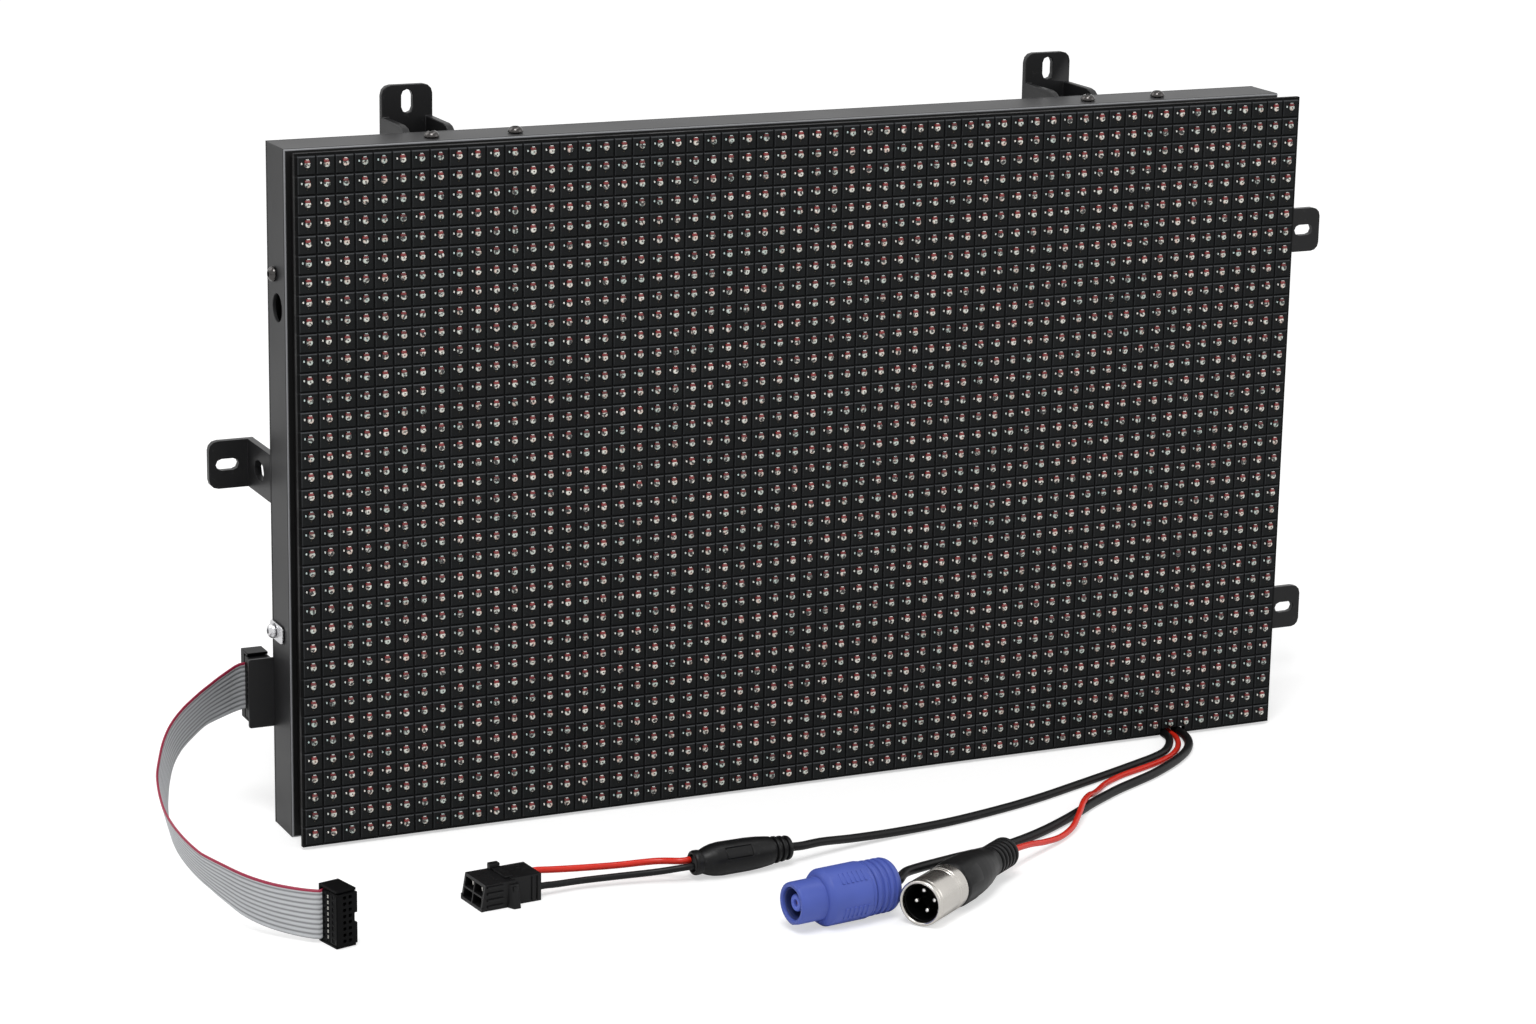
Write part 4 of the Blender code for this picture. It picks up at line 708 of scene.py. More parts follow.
def outlet_start(x, radius):
    """A lead's first points: out of the grommet, down to the floor and forwards under the mask."""
    front = FRONT_FACE - GAP - GROMMET_COLLAR - GAP
    rest = radius + FLOOR_DROP
    high = OUTLET_HEIGHT
    return [
        Vector((x, front, high)),
        Vector((x, front - 2.5 * MM, high - 0.2 * MM)),
        Vector((x, front - 7 * MM, (high + rest) / 2)),
        Vector((x, front - 11 * MM, rest)),
    ]


POWER_ROUTE = (
    (184.6, -34, 2.05), (180.8, -44.5, 2.05), (174, -54, 2.05), (165.5, -62, 2.05),
    (156.5, -68.8, 2.05), (143.8, -77, 2.05), (131.5, -83.5, 2.05), (119.5, -89.5, 2.05),
    (108.5, -96, 2.05), (98, -102.6, 2.05), (87, -110.5, 2.05), (74.6, -118.6, 2.05),
    (59, -127.6, 2.05), (42, -136.3, 2.6), (24, -145.2, 4.2), (8, -153.4, 6.6),
    (-6, -161, 8.6), (-17.8, -167, 10), (-27.6, -172.8, 11),
)
SIGNAL_ROUTE = (
    (180.4, -34, 1.35), (175.6, -44, 1.35), (168.2, -53, 1.35), (158.5, -60.2, 1.35),
    (146, -66, 1.35), (131, -72, 1.35), (118.4, -79.2, 1.35), (110, -87, 1.7),
    (103.5, -94.2, 3.2), (97, -101.4, 5.4), (89.6, -110, 6.1), (82.6, -119, 4.8),
    (74.5, -128, 2.6), (64, -136.5, 2.3), (52.5, -143.8, 4), (42, -150.2, 6.4),
)
DC_ROUTE = (
    (176.4, -34, 1.85), (171.4, -43, 1.85), (163.8, -51.4, 1.85), (155, -56.8, 1.85),
    (145.5, -61, 1.85), (125.5, -69.4, 1.85), (104, -78, 1.85), (81.3, -86.8, 1.85),
    (59, -93.8, 1.85), (31, -100.4, 1.85), (4, -105, 2.4), (-19, -109.4, 3.9),
    (-36, -113.8, 6),
)
RED_WIRE_ROUTE = ((-111, -112.9, 7.2), (-128, -110.6, 6.9), (-144, -108.6, 7.2), (-155, -107.8, 7.8))
BLACK_WIRE_ROUTE = ((-113, -118.2, 4.6), (-129.6, -115, 3.8), (-144, -113.7, 3.6), (-155, -114.6, 3.9))


def lead_routes():
    """Each round lead's points, as in the solids: name to list of places."""
    routes = {}
    for name, radius, shift, middle, end, before in (
        ("power_cable", 2.0, OUTLET_SPACING, POWER_ROUTE, POWER_PLUG, (-4.5, -0.6, 0)),
        ("signal_cable", 1.3, 0, SIGNAL_ROUTE, SIGNAL_PLUG, (-8, 0, -1.2)),
        ("dc_cable", 1.8, -OUTLET_SPACING, DC_ROUTE, SPLITTER, (-6, 0, -0.3)),
    ):
        start = outlet_start(OUTLET_X + shift, radius * MM) + in_mm(*middle)
        routes[name] = start + [from_plug(*end, *in_mm(before)[0]), from_plug(*end, -GAP)]
    routes["signal_cable"] += [from_plug(*SIGNAL_PLUG, inside * MM) for inside in (6, 12, 18)]
    out = SPLITTER_LENGTH + GAP
    for name, middle, first, last in (
        ("dc_wire_red", RED_WIRE_ROUTE, (-1.8 * MM, MM), (-4 * MM, 8.3 * MM)),
        ("dc_wire_black", BLACK_WIRE_ROUTE, (1.8 * MM, -0.6 * MM), (3.4 * MM, 4.2 * MM)),
    ):
        start = [from_plug(*SPLITTER, out + s, *first) for s in (0, 4 * MM)]
        end = [from_plug(*TWO_WAY_PLUG, -s, *last) for s in (4 * MM, GAP)]
        routes[name] = start + in_mm(*middle) + end
    return routes


def ribbon_route():
    """The ribbon's middle line, from the panel's plug round to the free one."""
    half = PLUG_WIDTH / 2
    start = [from_plug(PANEL_PLUG_PLACE, 0, u, RIBBON_PLANE) for u in (half, -half, -half - 4 * MM)]
    start[2] += Vector((0, -0.8, -0.5)) * MM
    ends = (-half - 2 * MM, -half, half)
    end = [from_plug(FREE_PLUG_PLACE, FREE_PLUG_TURN, u, FREE_RIBBON_PLANE) for u in ends]
    return start + in_mm(*RIBBON_ROUTE) + end


def ribbon_up(share):
    """The way across the ribbon, towards its upper edge, at a share of its length."""
    for (start, first), (end, second) in zip(RIBBON_UPS, RIBBON_UPS[1:]):
        if share <= end:
            return Vector(first).lerp(Vector(second), (share - start) / (end - start))
    return Vector(RIBBON_UPS[-1][1])


# Pieces


def corners(node):
    """A node's lowest and highest corner."""
    low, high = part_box(node)
    return Vector(low), Vector(high)


def turned_by(degrees, axis):
    return Matrix.Rotation(radians(degrees), 4, axis)


def moved(bm, matrix):
    bmesh.ops.transform(bm, matrix=matrix, verts=bm.verts)
    return bm


def pulled(bm, move):
    """Extrudes the open edges and places each new corner by its old place."""
    for vert in corners_of(bmesh.ops.extrude_edge_only(bm, edges=rims(bm))["geom"]):
        vert.co = move(vert.co.copy())
    return bm


def rims(bm):
    return [edge for edge in bm.edges if edge.is_boundary]


def corners_of(geom):
    return [item for item in geom if isinstance(item, bmesh.types.BMVert)]


def capped(bm):
    bmesh.ops.contextual_create(bm, geom=rims(bm))
    return bm


def snapped(spot, inner, outer):
    """Moves a point from one upright rectangle's edge to another's: (left, low, right, top)."""
    close = 0.02 * MM
    place = [spot.x, spot.z]
    for axis in (0, 1):
        if place[axis] < inner[axis] + close:
            place[axis] = outer[axis]
        elif place[axis] > inner[axis + 2] - close:
            place[axis] = outer[axis + 2]
    return Vector((place[0], spot.y, place[1]))


def cell_sheet(columns, rows, step_across, step_up, middle):
    """A grid of cells in an upright plane, facing -Y, and its edges."""
    half_width, half_height = columns * step_across / 2, rows * step_up / 2
    bm = bmesh.new()
    size = Matrix.Diagonal((half_width, half_height, 1, 1))
    place = Matrix.Translation(middle) @ turned_by(90, "X") @ size
    bmesh.ops.create_grid(bm, x_segments=columns, y_segments=rows, size=1, matrix=place)
    x, z = middle.x, middle.z
    return bm, (x - half_width, z - half_height, x + half_width, z + half_height)


def notched(bm, left, low, right, top):
    """Takes a rectangle out of a sheet that faces -Y."""
    cuts = [((x, 0, 0), (1, 0, 0)) for x in (left, right)]
    cuts += [((0, 0, z), (0, 0, 1)) for z in (low, top)]
    for spot, normal in cuts:
        near = [face for face in bm.faces if reaches(face, left, low, right, top)]
        geom = {part for face in near for part in (face, *face.edges, *face.verts)}
        bmesh.ops.bisect_plane(bm, geom=list(geom), plane_co=spot, plane_no=normal, dist=0.001 * MM)
    middles = {face: face.calc_center_median() for face in bm.faces}
    hole = [face for face, spot in middles.items() if left < spot.x < right and low < spot.z < top]
    bmesh.ops.delete(bm, geom=hole, context="FACES")
    return bm


def reaches(face, left, low, right, top):
    """Whether a face comes near a rectangle."""
    across = [vert.co.x for vert in face.verts]
    up = [vert.co.z for vert in face.verts]
    return min(across) < right and max(across) > left and min(up) < top and max(up) > low


def pocketed(columns, rows, step, hole, depth, outline, thickness, key=None):
    """A block with a grid of pockets in its front face, which faces -Y.

    The outline is (left, low, right, top), and a key is a notch given in the same way.
    """
    left, low, right, top = outline
    middle = Vector(((left + right) / 2, 0, (low + top) / 2))
    bm, edges = cell_sheet(columns, rows, *step, middle)
    cells = list(bm.faces)
    wall = (min(step) - hole) / 2
    bmesh.ops.inset_individual(bm, faces=cells, thickness=wall, use_even_offset=True)
    bmesh.ops.inset_individual(bm, faces=cells, thickness=POCKET_DRAFT, depth=-depth)
    pulled(bm, lambda spot: snapped(spot, edges, outline))
    if key:
        notched(bm, *key)
    pulled(bm, lambda spot: Vector((spot.x, thickness, spot.z)))
    return capped(bm)


def strip(outline, axis, start, end):
    """An outline drawn out along an axis: its points are (y, z), (x, z) or (x, y)."""
    bm = bmesh.new()
    index = "XYZ".index(axis)
    points = [bm.verts.new((*pair[:index], start, *pair[index:])) for pair in outline]
    grown = bmesh.ops.extrude_face_region(bm, geom=[bm.faces.new(points)])["geom"]
    vector = Vector((0, 0, 0))
    vector[index] = end - start
    bmesh.ops.translate(bm, verts=corners_of(grown), vec=vector)
    return bm


def merged(target, other):
    """Adds a second mesh to the first."""
    mesh = bpy.data.meshes.new("merging")
    other.to_mesh(mesh)
    other.free()
    target.from_mesh(mesh)
    bpy.data.meshes.remove(mesh)
    return target


def rounded(piece, width, segments=2, angle=40):
    """Softens a finished piece's edges."""
    edges = piece.modifiers.new("rounding", "BEVEL")
    edges.width = width
    edges.segments = segments
    edges.limit_method = "ANGLE"
    edges.angle_limit = radians(angle)
    return piece


def around(bm, start, end, angle, spread):
    """A turned shape's faces between two places in millimetres, near an angle from its top to +Y."""
    out = Vector((0, sin(radians(angle)), cos(radians(angle))))
    found = []
    for face in bm.faces:
        middle = face.calc_center_median()
        off = out.angle(Vector((0, middle.y, middle.z)), pi)
        if start * MM < middle.x < end * MM and off < radians(spread):
            found.append(face)
    return found


def inset(bm, faces, thickness, depth, even=False):
    """Insets a field of faces by a width and a depth in millimetres; below zero goes in."""
    sizes = {"thickness": thickness * MM, "depth": depth * MM}
    bmesh.ops.inset_region(bm, faces=faces, use_even_offset=even, **sizes)


MADE = {}


def shared(maker, name, *settings, **options):
    """A material that several pieces have, made once."""
    if name not in MADE:
        MADE[name] = maker(name, *settings, **options)
    return MADE[name]


def black_plastic(plugs):
    return shared(moulded_plastic, "plug_plastic", plugs.black, 0.34, shine=0.06)


def black_rubber(leads):
    return shared(soft_rubber, "cable_rubber", leads.black)


def red_sheath(leads):
    return shared(sheath, "red_sheath", leads.red)


def contact_metal(plugs):
    return shared(plated_metal, "contact_metal", plugs.gold, 0.3)


def tile_mask(tiles):
    """The mask: raised square tiles in a thin rim, with a notch for the leads in its lower edge."""
    low, high = corners("front_mask")
    level = low.y + tiles.crown
    middle = Vector((0, level, tiles.rise + tiles.rows * tiles.pitch / 2))
    bm, edges = cell_sheet(tiles.columns, tiles.rows, tiles.pitch, tiles.pitch, middle)
    cells = list(bm.faces)
    bmesh.ops.inset_individual(bm, faces=cells, thickness=tiles.groove)
    bmesh.ops.inset_individual(bm, faces=cells, thickness=tiles.slope, depth=tiles.crown)
    outline = (low.x, low.z, high.x, high.z)
    pulled(bm, lambda spot: snapped(spot, edges, outline))
    half = OUTLET_NOTCH / 2
    notched(bm, OUTLET_X - half, low.z - MM, OUTLET_X + half, OUTLET_NOTCH_TOP)
    pulled(bm, lambda spot: Vector((spot.x, high.y, spot.z)))
    capped(bm)
    return publish("tile_mask", bm, tile_plastic(tiles), ("front_mask",), "mask_plastic", 0)


def on_tile(tiles, across, down):
    """The place of a mark on the first tile, at the lower left of the mask."""
    low = corners("front_mask")[0]
    left = -tiles.columns * tiles.pitch / 2
    return Vector((left + across * tiles.pitch, low.y, tiles.rise + (1 - down) * tiles.pitch))


def repeated(piece, tiles):
    """Repeats a piece on every tile."""
    for name, count, step in (
        ("across", tiles.columns, (tiles.pitch, 0, 0)),
        ("up", tiles.rows, (0, 0, tiles.pitch)),
    ):
        array = piece.modifiers.new(name, "ARRAY")
        array.count = count
        array.use_relative_offset = False
        array.use_constant_offset = True
        array.constant_offset_displace = step
    return piece


def led_lenses(tiles):
    """The domed lenses, each with a low collar."""
    radius = tiles.lens_radius
    profile = [(-0.1 * MM, radius * 1.1), (0.16 * MM, radius * 1.1), (0.3 * MM, radius)]
    profile += [(0.78 * MM, radius * 0.68), (0.98 * MM, 0)]
    bm = moved(turned(profile, 10), turned_by(-90, "Z"))
    moved(bm, Matrix.Translation(on_tile(tiles, *LENS_PLACE)))
    repeated(publish("led_lenses", bm, lens_clear(tiles), (), "mask_plastic", 50), tiles)


LED_MARKS = (
    ("led_red_chips", (0.52, 0.3), (2.1, 1.0, 1.0), 0.2),
    # painted highlight: a pale strip along the top of each red chip
    ("led_highlight_strips", (0.54, 0.215), (1.2, 0.3, 0.6), 0.08),
    ("led_side_pads", (0.24, 0.4), (0.55, 0.8, 0.5), 0.12),
    ("led_dots", (0.52, 0.72), (0.42, 0.42, 0.2), 0.08),
)


def led_marks(tiles):
    """The red chip, painted highlight strip, pale pad and small dot on each tile."""
    red, pale = red_chip(tiles), pad_and_highlight_paint(tiles)
    dull = moulded_plastic("led_dot", tiles.dot_colour, 0.4)
    for (name, place, size, bevel), material in zip(LED_MARKS, (red, pale, pale, dull)):
        spot = on_tile(tiles, *place)
        width, height, thick = in_mm(size)[0]
        low = spot - Vector((width / 2, thick, height / 2))
        high = spot + Vector((width / 2, MARK_ROOT, height / 2))
        bm = block(bmesh.new(), low, high, bevel * MM, 1)
        repeated(publish(name, bm, material, (), "mask_plastic", 30), tiles)


# Housing, brackets and screws


def housing(steel):
    """The folded frame and the cover behind it, with rounded edges."""
    coat = framed_steel("housing_coat", steel.coat, 0.42)
    folded_copy("housing_shell", "housing_frame", coat, steel.edge, "powder_coat")
    folded_copy("cover_pan", "rear_cover", coat, steel.edge, "powder_coat")


BRACKETS = (
    "top_bracket_left", "top_bracket_right", "left_bracket", "right_bracket_upper", "right_bracket_lower"
)


def brackets(steel):
    """The five slotted wall brackets."""
    coat = coated_steel("bracket_coat", steel.bracket, 0.38)
    for node in BRACKETS:
        folded_copy(f"{node}_folded", node, coat, steel.edge, "bracket_steel")


def button_screw(name, node, out, material, slot="black_screw"):
    """A button-head screw with a hexagon socket, which stands out of its hole."""
    low, high = corners(node)
    out = Vector(out)
    length = abs((high - low).dot(out))
    head = max((high - low)[i] for i in range(3) if not out[i]) / 2
    under = length - HEAD_HEIGHT
    profile = [(0, 0), (0, SHANK - 0.3 * MM), (0.3 * MM, SHANK)]
    profile += [(under, SHANK), (under, head - 0.1 * MM)]
    for along, share in ((0.15, 1), (0.5, 1), (1.2, 0.92), (1.8, 0.78)):
        profile.append((under + along * MM, head * share))
    bm = turned(profile + [(length - 0.2 * MM, head * 0.62), (length, head * 0.5)], 32)
    place = Matrix.Translation((length, 0, 0)) @ turned_by(90, "Y")
    bmesh.ops.create_circle(bm, segments=6, radius=head * 0.42, matrix=place)
    loops = [edge for edge in bm.edges if not edge.link_faces or edge.is_boundary]
    bmesh.ops.bridge_loops(bm, edges=loops)
    pulled(bm, lambda spot: spot - Vector((SOCKET_DEPTH, 0, 0)))
    capped(bm)
    base = Matrix.Translation((low + high) / 2 - out * (length / 2))
    moved(bm, base @ Vector((1, 0, 0)).rotation_difference(out).to_matrix().to_4x4())
    return publish(name, bm, material, (node,), slot, 32)


def screws(steel):
    """Every screw that is seen, in black nickel."""
    black = plated_metal("black_nickel", steel.screw, 0.14)
    for i in range(1, 5):
        button_screw(f"top_screw_{i}", f"frame_top_screw_{i}", (0, 0, 1), black)
    button_screw("side_screw", "frame_side_screw", LEFTWARDS, black)
    for node in frame["nodes"]:
        if node.startswith("bracket_screw"):
            button_screw(node.replace("bracket", "foot"), node, (0, 1, 0), black)


def earth_point(steel):
    """The bright tag on the left wall and its screw."""
    bright = plated_metal("bright_plate", steel.tin, 0.26, (1, 1, 4))
    folded_copy("earth_tag", "earth_clip", bright, 0.2 * MM, "bright_tin")
    button_screw("earth_tag_screw", "earth_screw", LEFTWARDS, bright, "bright_tin")


def inside(settings):
    """Better materials for the nodes whose shape stays as it is."""
    board = circuit_board("board_lacquer")
    # painted shade: the carrier near-black for the shade in the recess behind the mask
    carrier = moulded_plastic("carrier_plastic", settings.tiles.recess_shade, 0.6, shine=0.1)
    repaint("module_carrier", carrier)
    repaint("led_board", board)
    repaint("receiving_card", board)
    repaint("power_supply", plated_metal("supply_case", settings.steel.tin, 0.32, (6, 1, 1)))
    repaint("cable_grommet", black_rubber(settings.leads))
    repaint("data_header", black_plastic(settings.plugs))


# Ribbon and its plugs


def plug_part(name, node, bm, place, turn, plugs):
    """A black part of a ribbon plug, laid in its place."""
    return publish(name, laid(bm, place, turn), black_plastic(plugs), (node,), "plug_plastic", 30)


def windows(bm, rows, step, hole, low, high, half_length):
    """Adds a column of pockets to a plug's left side, from low to high out from its front."""
    side = (low, -half_length + 0.2 * MM, high, half_length - 0.2 * MM)
    panel = pocketed(1, rows, (step, step), hole, WINDOW_DEPTH, side, WINDOW_BLOCK)
    left = Matrix.Translation((-PLUG_WIDTH / 2 - PROUD, 0, 0))
    merged(bm, moved(panel, left @ turned_by(-90, "Z") @ Matrix.Scale(-1, 4, (1, 0, 0))))


def socket_body(name, node, length, depth, place, turn, plugs):
    """A socket body: two rows of contact holes, a key at one side and windows at the other."""
    half, half_length = PLUG_WIDTH / 2, length / 2
    step = min(CONTACT_PITCH, (length - 0.6 * MM) / CONTACT_ROWS)
    outline = (-half, -half_length, half, half_length)
    key = (half - 1.2 * MM, -2 * MM, half + MM, 2 * MM)
    grid = (2, CONTACT_ROWS, (CONTACT_PITCH, step))
    bm = pocketed(*grid, 1.35 * MM, depth - 2 * MM, outline, depth, key)
    windows(bm, CONTACT_ROWS, step, 1.5 * MM, 0.5 * MM, depth - 0.2 * MM, half_length)
    return rounded(plug_part(name, node, bm, place, turn, plugs), 0.12 * MM, 1)


def clamp(name, node, length, front, depth, reach, place, turn, plugs):
    """The bar with an arm at each end that hooks over what it clamps."""
    inner, outer = length / 2 + GAP, length / 2 + PLUG_END
    rear = front + depth
    hook = rear - reach
    staple = [(hook, -outer), (rear, -outer), (rear, outer), (hook, outer), (hook, inner)]
    staple += [(front, inner), (front, -inner), (hook, -inner)]
    bm = strip(staple, "X", -PLUG_WIDTH / 2, PLUG_WIDTH / 2)
    return rounded(plug_part(name, node, bm, place, turn, plugs), 0.2 * MM)


def contact_tips(name, length, along, place, turn, plugs):
    """The pale ends of the contacts, in a column at a plug's left side."""
    bm = bmesh.new()
    step = (length - 2 * MM) / CONTACT_ROWS
    left = -PLUG_WIDTH / 2 - 0.3 * MM
    for row in range(CONTACT_ROWS):
        z = (row - (CONTACT_ROWS - 1) / 2) * step
        for lean in (-0.32, 0.38):
            low = (left, along - 0.4 * MM, z + (lean - 0.3) * MM)
            high = (left + 1.2 * MM, along + 0.3 * MM, z + (lean + 0.25) * MM)
            block(bm, low, high, 0.1 * MM, 1)
    return publish(name, laid(bm, place, turn), contact_metal(plugs), (), "plug_plastic", 30)


def free_plug(plugs):
    """The ribbon's free plug: body, windowed cap, contact tips and the relief bar."""
    length, depth = FREE_PLUG_LENGTH, FREE_BODY_DEPTH
    place = (FREE_PLUG_PLACE, FREE_PLUG_TURN, plugs)
    body = socket_body("free_plug_body", "ribbon_plug_free_body", length, depth, *place)
    half, half_length = PLUG_WIDTH / 2, length / 2
    front, rear = depth + GAP, depth + GAP + FREE_CAP_DEPTH
    bm = block(bmesh.new(), (-half, front, -half_length), (half, rear, half_length), 0.2 * MM)
    step = (length - 2 * MM) / CAP_WINDOWS
    windows(bm, CAP_WINDOWS, step, 1.1 * MM, front + 1.5 * MM, rear + 0.1 * MM, half_length)
    cap = plug_part("free_plug_cap", "ribbon_plug_free_cap", bm, *place)
    tips_place = front + 0.9 * MM
    front = FREE_RIBBON_PLANE + RIBBON_THICKNESS / 2 + RELIEF_GAP
    sizes = (length, front, RELIEF_THICKNESS, FREE_ARM_REACH)
    relief = clamp("free_plug_relief", "ribbon_plug_free_relief", *sizes, *place)
    tips = contact_tips("free_plug_tips", length, tips_place, *place)
    return [body, cap, relief, tips]


def panel_plug(plugs):
    """The ribbon's plug on the header behind the panel's left edge."""
    place = (PANEL_PLUG_PLACE, 0, plugs)
    socket_body("panel_plug_body", "ribbon_plug_panel_body", PLUG_LENGTH, PLUG_BODY_DEPTH, *place)
    front = PLUG_BODY_DEPTH + 2 * GAP + RIBBON_THICKNESS
    sizes = (PLUG_LENGTH, front, PLUG_CAP_DEPTH, PLUG_ARM_REACH)
    clamp("panel_plug_cap", "ribbon_plug_panel_cap", *sizes, *place)


def ribbon_section(width):
    """Points round the ribbon's section, (across, out), with a bump for each conductor."""
    pitch = width / CONDUCTORS
    heights = (0.28, 0.86, 1.0, 0.86)
    face = []
    for i in range(CONDUCTORS * 4 + 1):
        face.append((-width / 2 + i * pitch / 4, heights[i % 4] * RIBBON_THICKNESS / 2))
    return face + [(across, -out) for across, out in reversed(face)]


def ribbon(settings):
    """The grey ribbon with its red edge, which hangs from the panel's plug to the free one."""
    leads = settings.leads
    points = smooth_route(ribbon_route(), RIBBON_SPACING)
    section = ribbon_section(leads.ribbon_width)
    last = len(points) - 1
    bm = bmesh.new()
    share_layer = bm.verts.layers.float.new("across")

    def station(i):
        ahead = (points[min(i + 1, last)] - points[max(i - 1, 0)]).normalized()
        up = ribbon_up(i / last)
        up = (up - ahead * up.dot(ahead)).normalized()
        out = ahead.cross(up)
        return [points[i] + up * across + out * away for across, away in section]

    ring = []
    for place, (across, _) in zip(station(0), section):
        vert = bm.verts.new(place)
        vert[share_layer] = across / leads.ribbon_width + 0.5
        ring.append(vert)
    edges = [bm.edges.new(pair) for pair in zip(ring, ring[1:] + ring[:1])]
    bm.faces.new(ring)
    for i in range(1, last + 1):
        grown = bmesh.ops.extrude_edge_only(bm, edges=edges)["geom"]
        edges = [part for part in grown if isinstance(part, bmesh.types.BMEdge) and part.is_boundary]
        following = {}
        for vert in corners_of(grown):
            for edge in vert.link_edges:
                other = edge.other_vert(vert)
                if other in ring:
                    following[ring.index(other)] = vert
        ring = [following[k] for k in range(len(section))]
        for vert, place in zip(ring, station(i)):
            vert.co = place
    capped(bm)
    piece = publish("ribbon_lead", bm, ribbon_sheath(leads), ("ribbon_cable",), "ribbon_grey", 80)
    with_pieces = free_plug(settings.plugs)
    panel_plug(settings.plugs)
    route_length(points)


# Round leads and their plugs


def round_lead(name, node, diameter, material, slot):
    """A round lead along its route, as a curve."""
    points = smooth_route(lead_routes()[node], LEAD_SPACING)
    curve = bpy.data.curves.new(name, "CURVE")
    curve.dimensions = "3D"
    curve.bevel_depth = diameter / 2
    curve.bevel_resolution = 4
    curve.use_fill_caps = True
    spline = curve.splines.new("POLY")
    spline.points.add(len(points) - 1)
    for point, spot in zip(spline.points, points):
        point.co = (*spot, 1)
    spline.use_smooth = True
    curve.materials.append(material)
    piece = linked(name, curve)
    settle(piece, (node,), slot)
    route_length(points)


def grooved(starts, radius, width, depth):
    """Ring grooves in a turned profile."""
    profile = []
    for start in starts:
        profile += [(start, radius), (start + width * 0.25, radius - depth)]
        profile += [(start + width * 0.75, radius - depth), (start + width, radius)]
    return profile


def in_metres(profile):
    return [(along * MM, radius * MM) for along, radius in profile]


def placed(start, *points):
    """Profile points whose distance along is counted from a start."""
    return [(start + along, radius) for along, radius in points]


def plug_pieces(rear, turn):
    """A list of pieces, and a function that lays a shape in a plug's place and adds it."""
    pieces = []

    def add(name, bm, material, slot, *nodes):
        pieces.append(publish(name, laid(bm, rear, turn), material, nodes, slot, 40))

    return pieces, add


def blue_plug(plugs):
    """The blue round plug: grooved cable nut, shell with a socket nose, and its middle contact."""
    blue = moulded_plastic("plug_blue", plugs.blue, 0.36, *BLUE_GRAIN)
    # painted shade and painted highlight: a darker copy of the blue for the insert deep in the bore, a
    # paler copy for the post
    bore_shade = moulded_plastic("plug_blue_bore_shade", darker(plugs.blue, 0.72), 0.5, *BLUE_GRAIN)
    pale = moulded_plastic("plug_blue_post_highlight", lighter(plugs.blue, 0.5), 0.36, *BLUE_GRAIN)
    pieces, add = plug_pieces(*POWER_PLUG)
    nut, nose, length = 13, 35, 47
    profile = [(0, 0), (0.9, 0), (0.9, 2.5), (0, 2.7), (0, 8.0), (0.7, 9.6), (2.0, 10.6), (3.0, 10.9)]
    profile += grooved((3.6, 6.4, 9.2), 11.1, 1.5, 1.0)
    profile += placed(nut, (-1.1, 11.2), (-0.5, 10.7), (-0.3, 10.5), (-0.3, 0))
    add("blue_plug_nut", spun(profile, 0.5), blue, "plug_blue", "power_plug_nut")

    profile = placed(nut, (0, 0), (0, 10.6), (0.4, 11.2), (1.2, 11.35), (1.5, 11.1))
    profile += placed(nut, (1.9, 11.1), (2.2, 11.6), (3.5, 11.6))
    profile += placed(nose, (-5, 11.6), (-2.2, 11.6), (-0.5, 10.3), (0, 9.3), (0, 8.6))
    profile += placed(length, (-1.6, 8.6), (-0.4, 8.45), (0, 8.0), (0, 7.0), (-0.5, 6.6))
    bm = spun(profile + placed(length, (-11, 6.5), (-11, 0)), 0.4)
    for angle in (38, 112, 218, 292):
        for i in range(6):
            start = nut + 4 + 2.1 * i
            low, high = in_mm((start, -2.6, 11), (start + 1.1, 2.6, 11.8))
            merged(bm, moved(block(bmesh.new(), low, high, 0.2 * MM), turned_by(-angle, "X")))
    for angle in (10, 190):
        inset(bm, around(bm, length - 1.6, length - 0.5, angle, 16), 0.25, -0.3)
    add("blue_plug_shell", bm, blue, "plug_blue", "power_plug_shell")

    floor, tip = length - 11, length - 2
    profile = [(floor + 0.3, 0), (floor + 0.3, 6.3), (length - 1.2, 6.4), (length - 1.6, 6.0)]
    profile += placed(floor, (2, 5.8), (1.5, 5.4), (1.5, 0))
    add("blue_plug_insert", spun(profile, 0.2, 48), bore_shade, "plug_blue", "power_plug_insert")
    profile = [(floor + 1.6, 0), (floor + 1.6, 3.8)]
    profile += placed(tip, (-2.4, 3.7), (-0.5, 3.5), (0, 3.1), (0, 1.6), (-0.3, 1.4))
    profile += placed(tip, (-5, 1.4), (-5, 0))
    add("blue_plug_post", spun(profile, 0.25, 48), pale, "plug_blue")
    profile = placed(tip, (-5.4, 0), (-5.4, 1.3), (-1.5, 1.3), (-1.2, 1.0), (-1.2, 0))
    copper = plated_metal("copper_contact", plugs.copper, 0.35)
    add("blue_plug_contact", turned(in_metres(profile), 24), copper, "plug_blue")
    return pieces


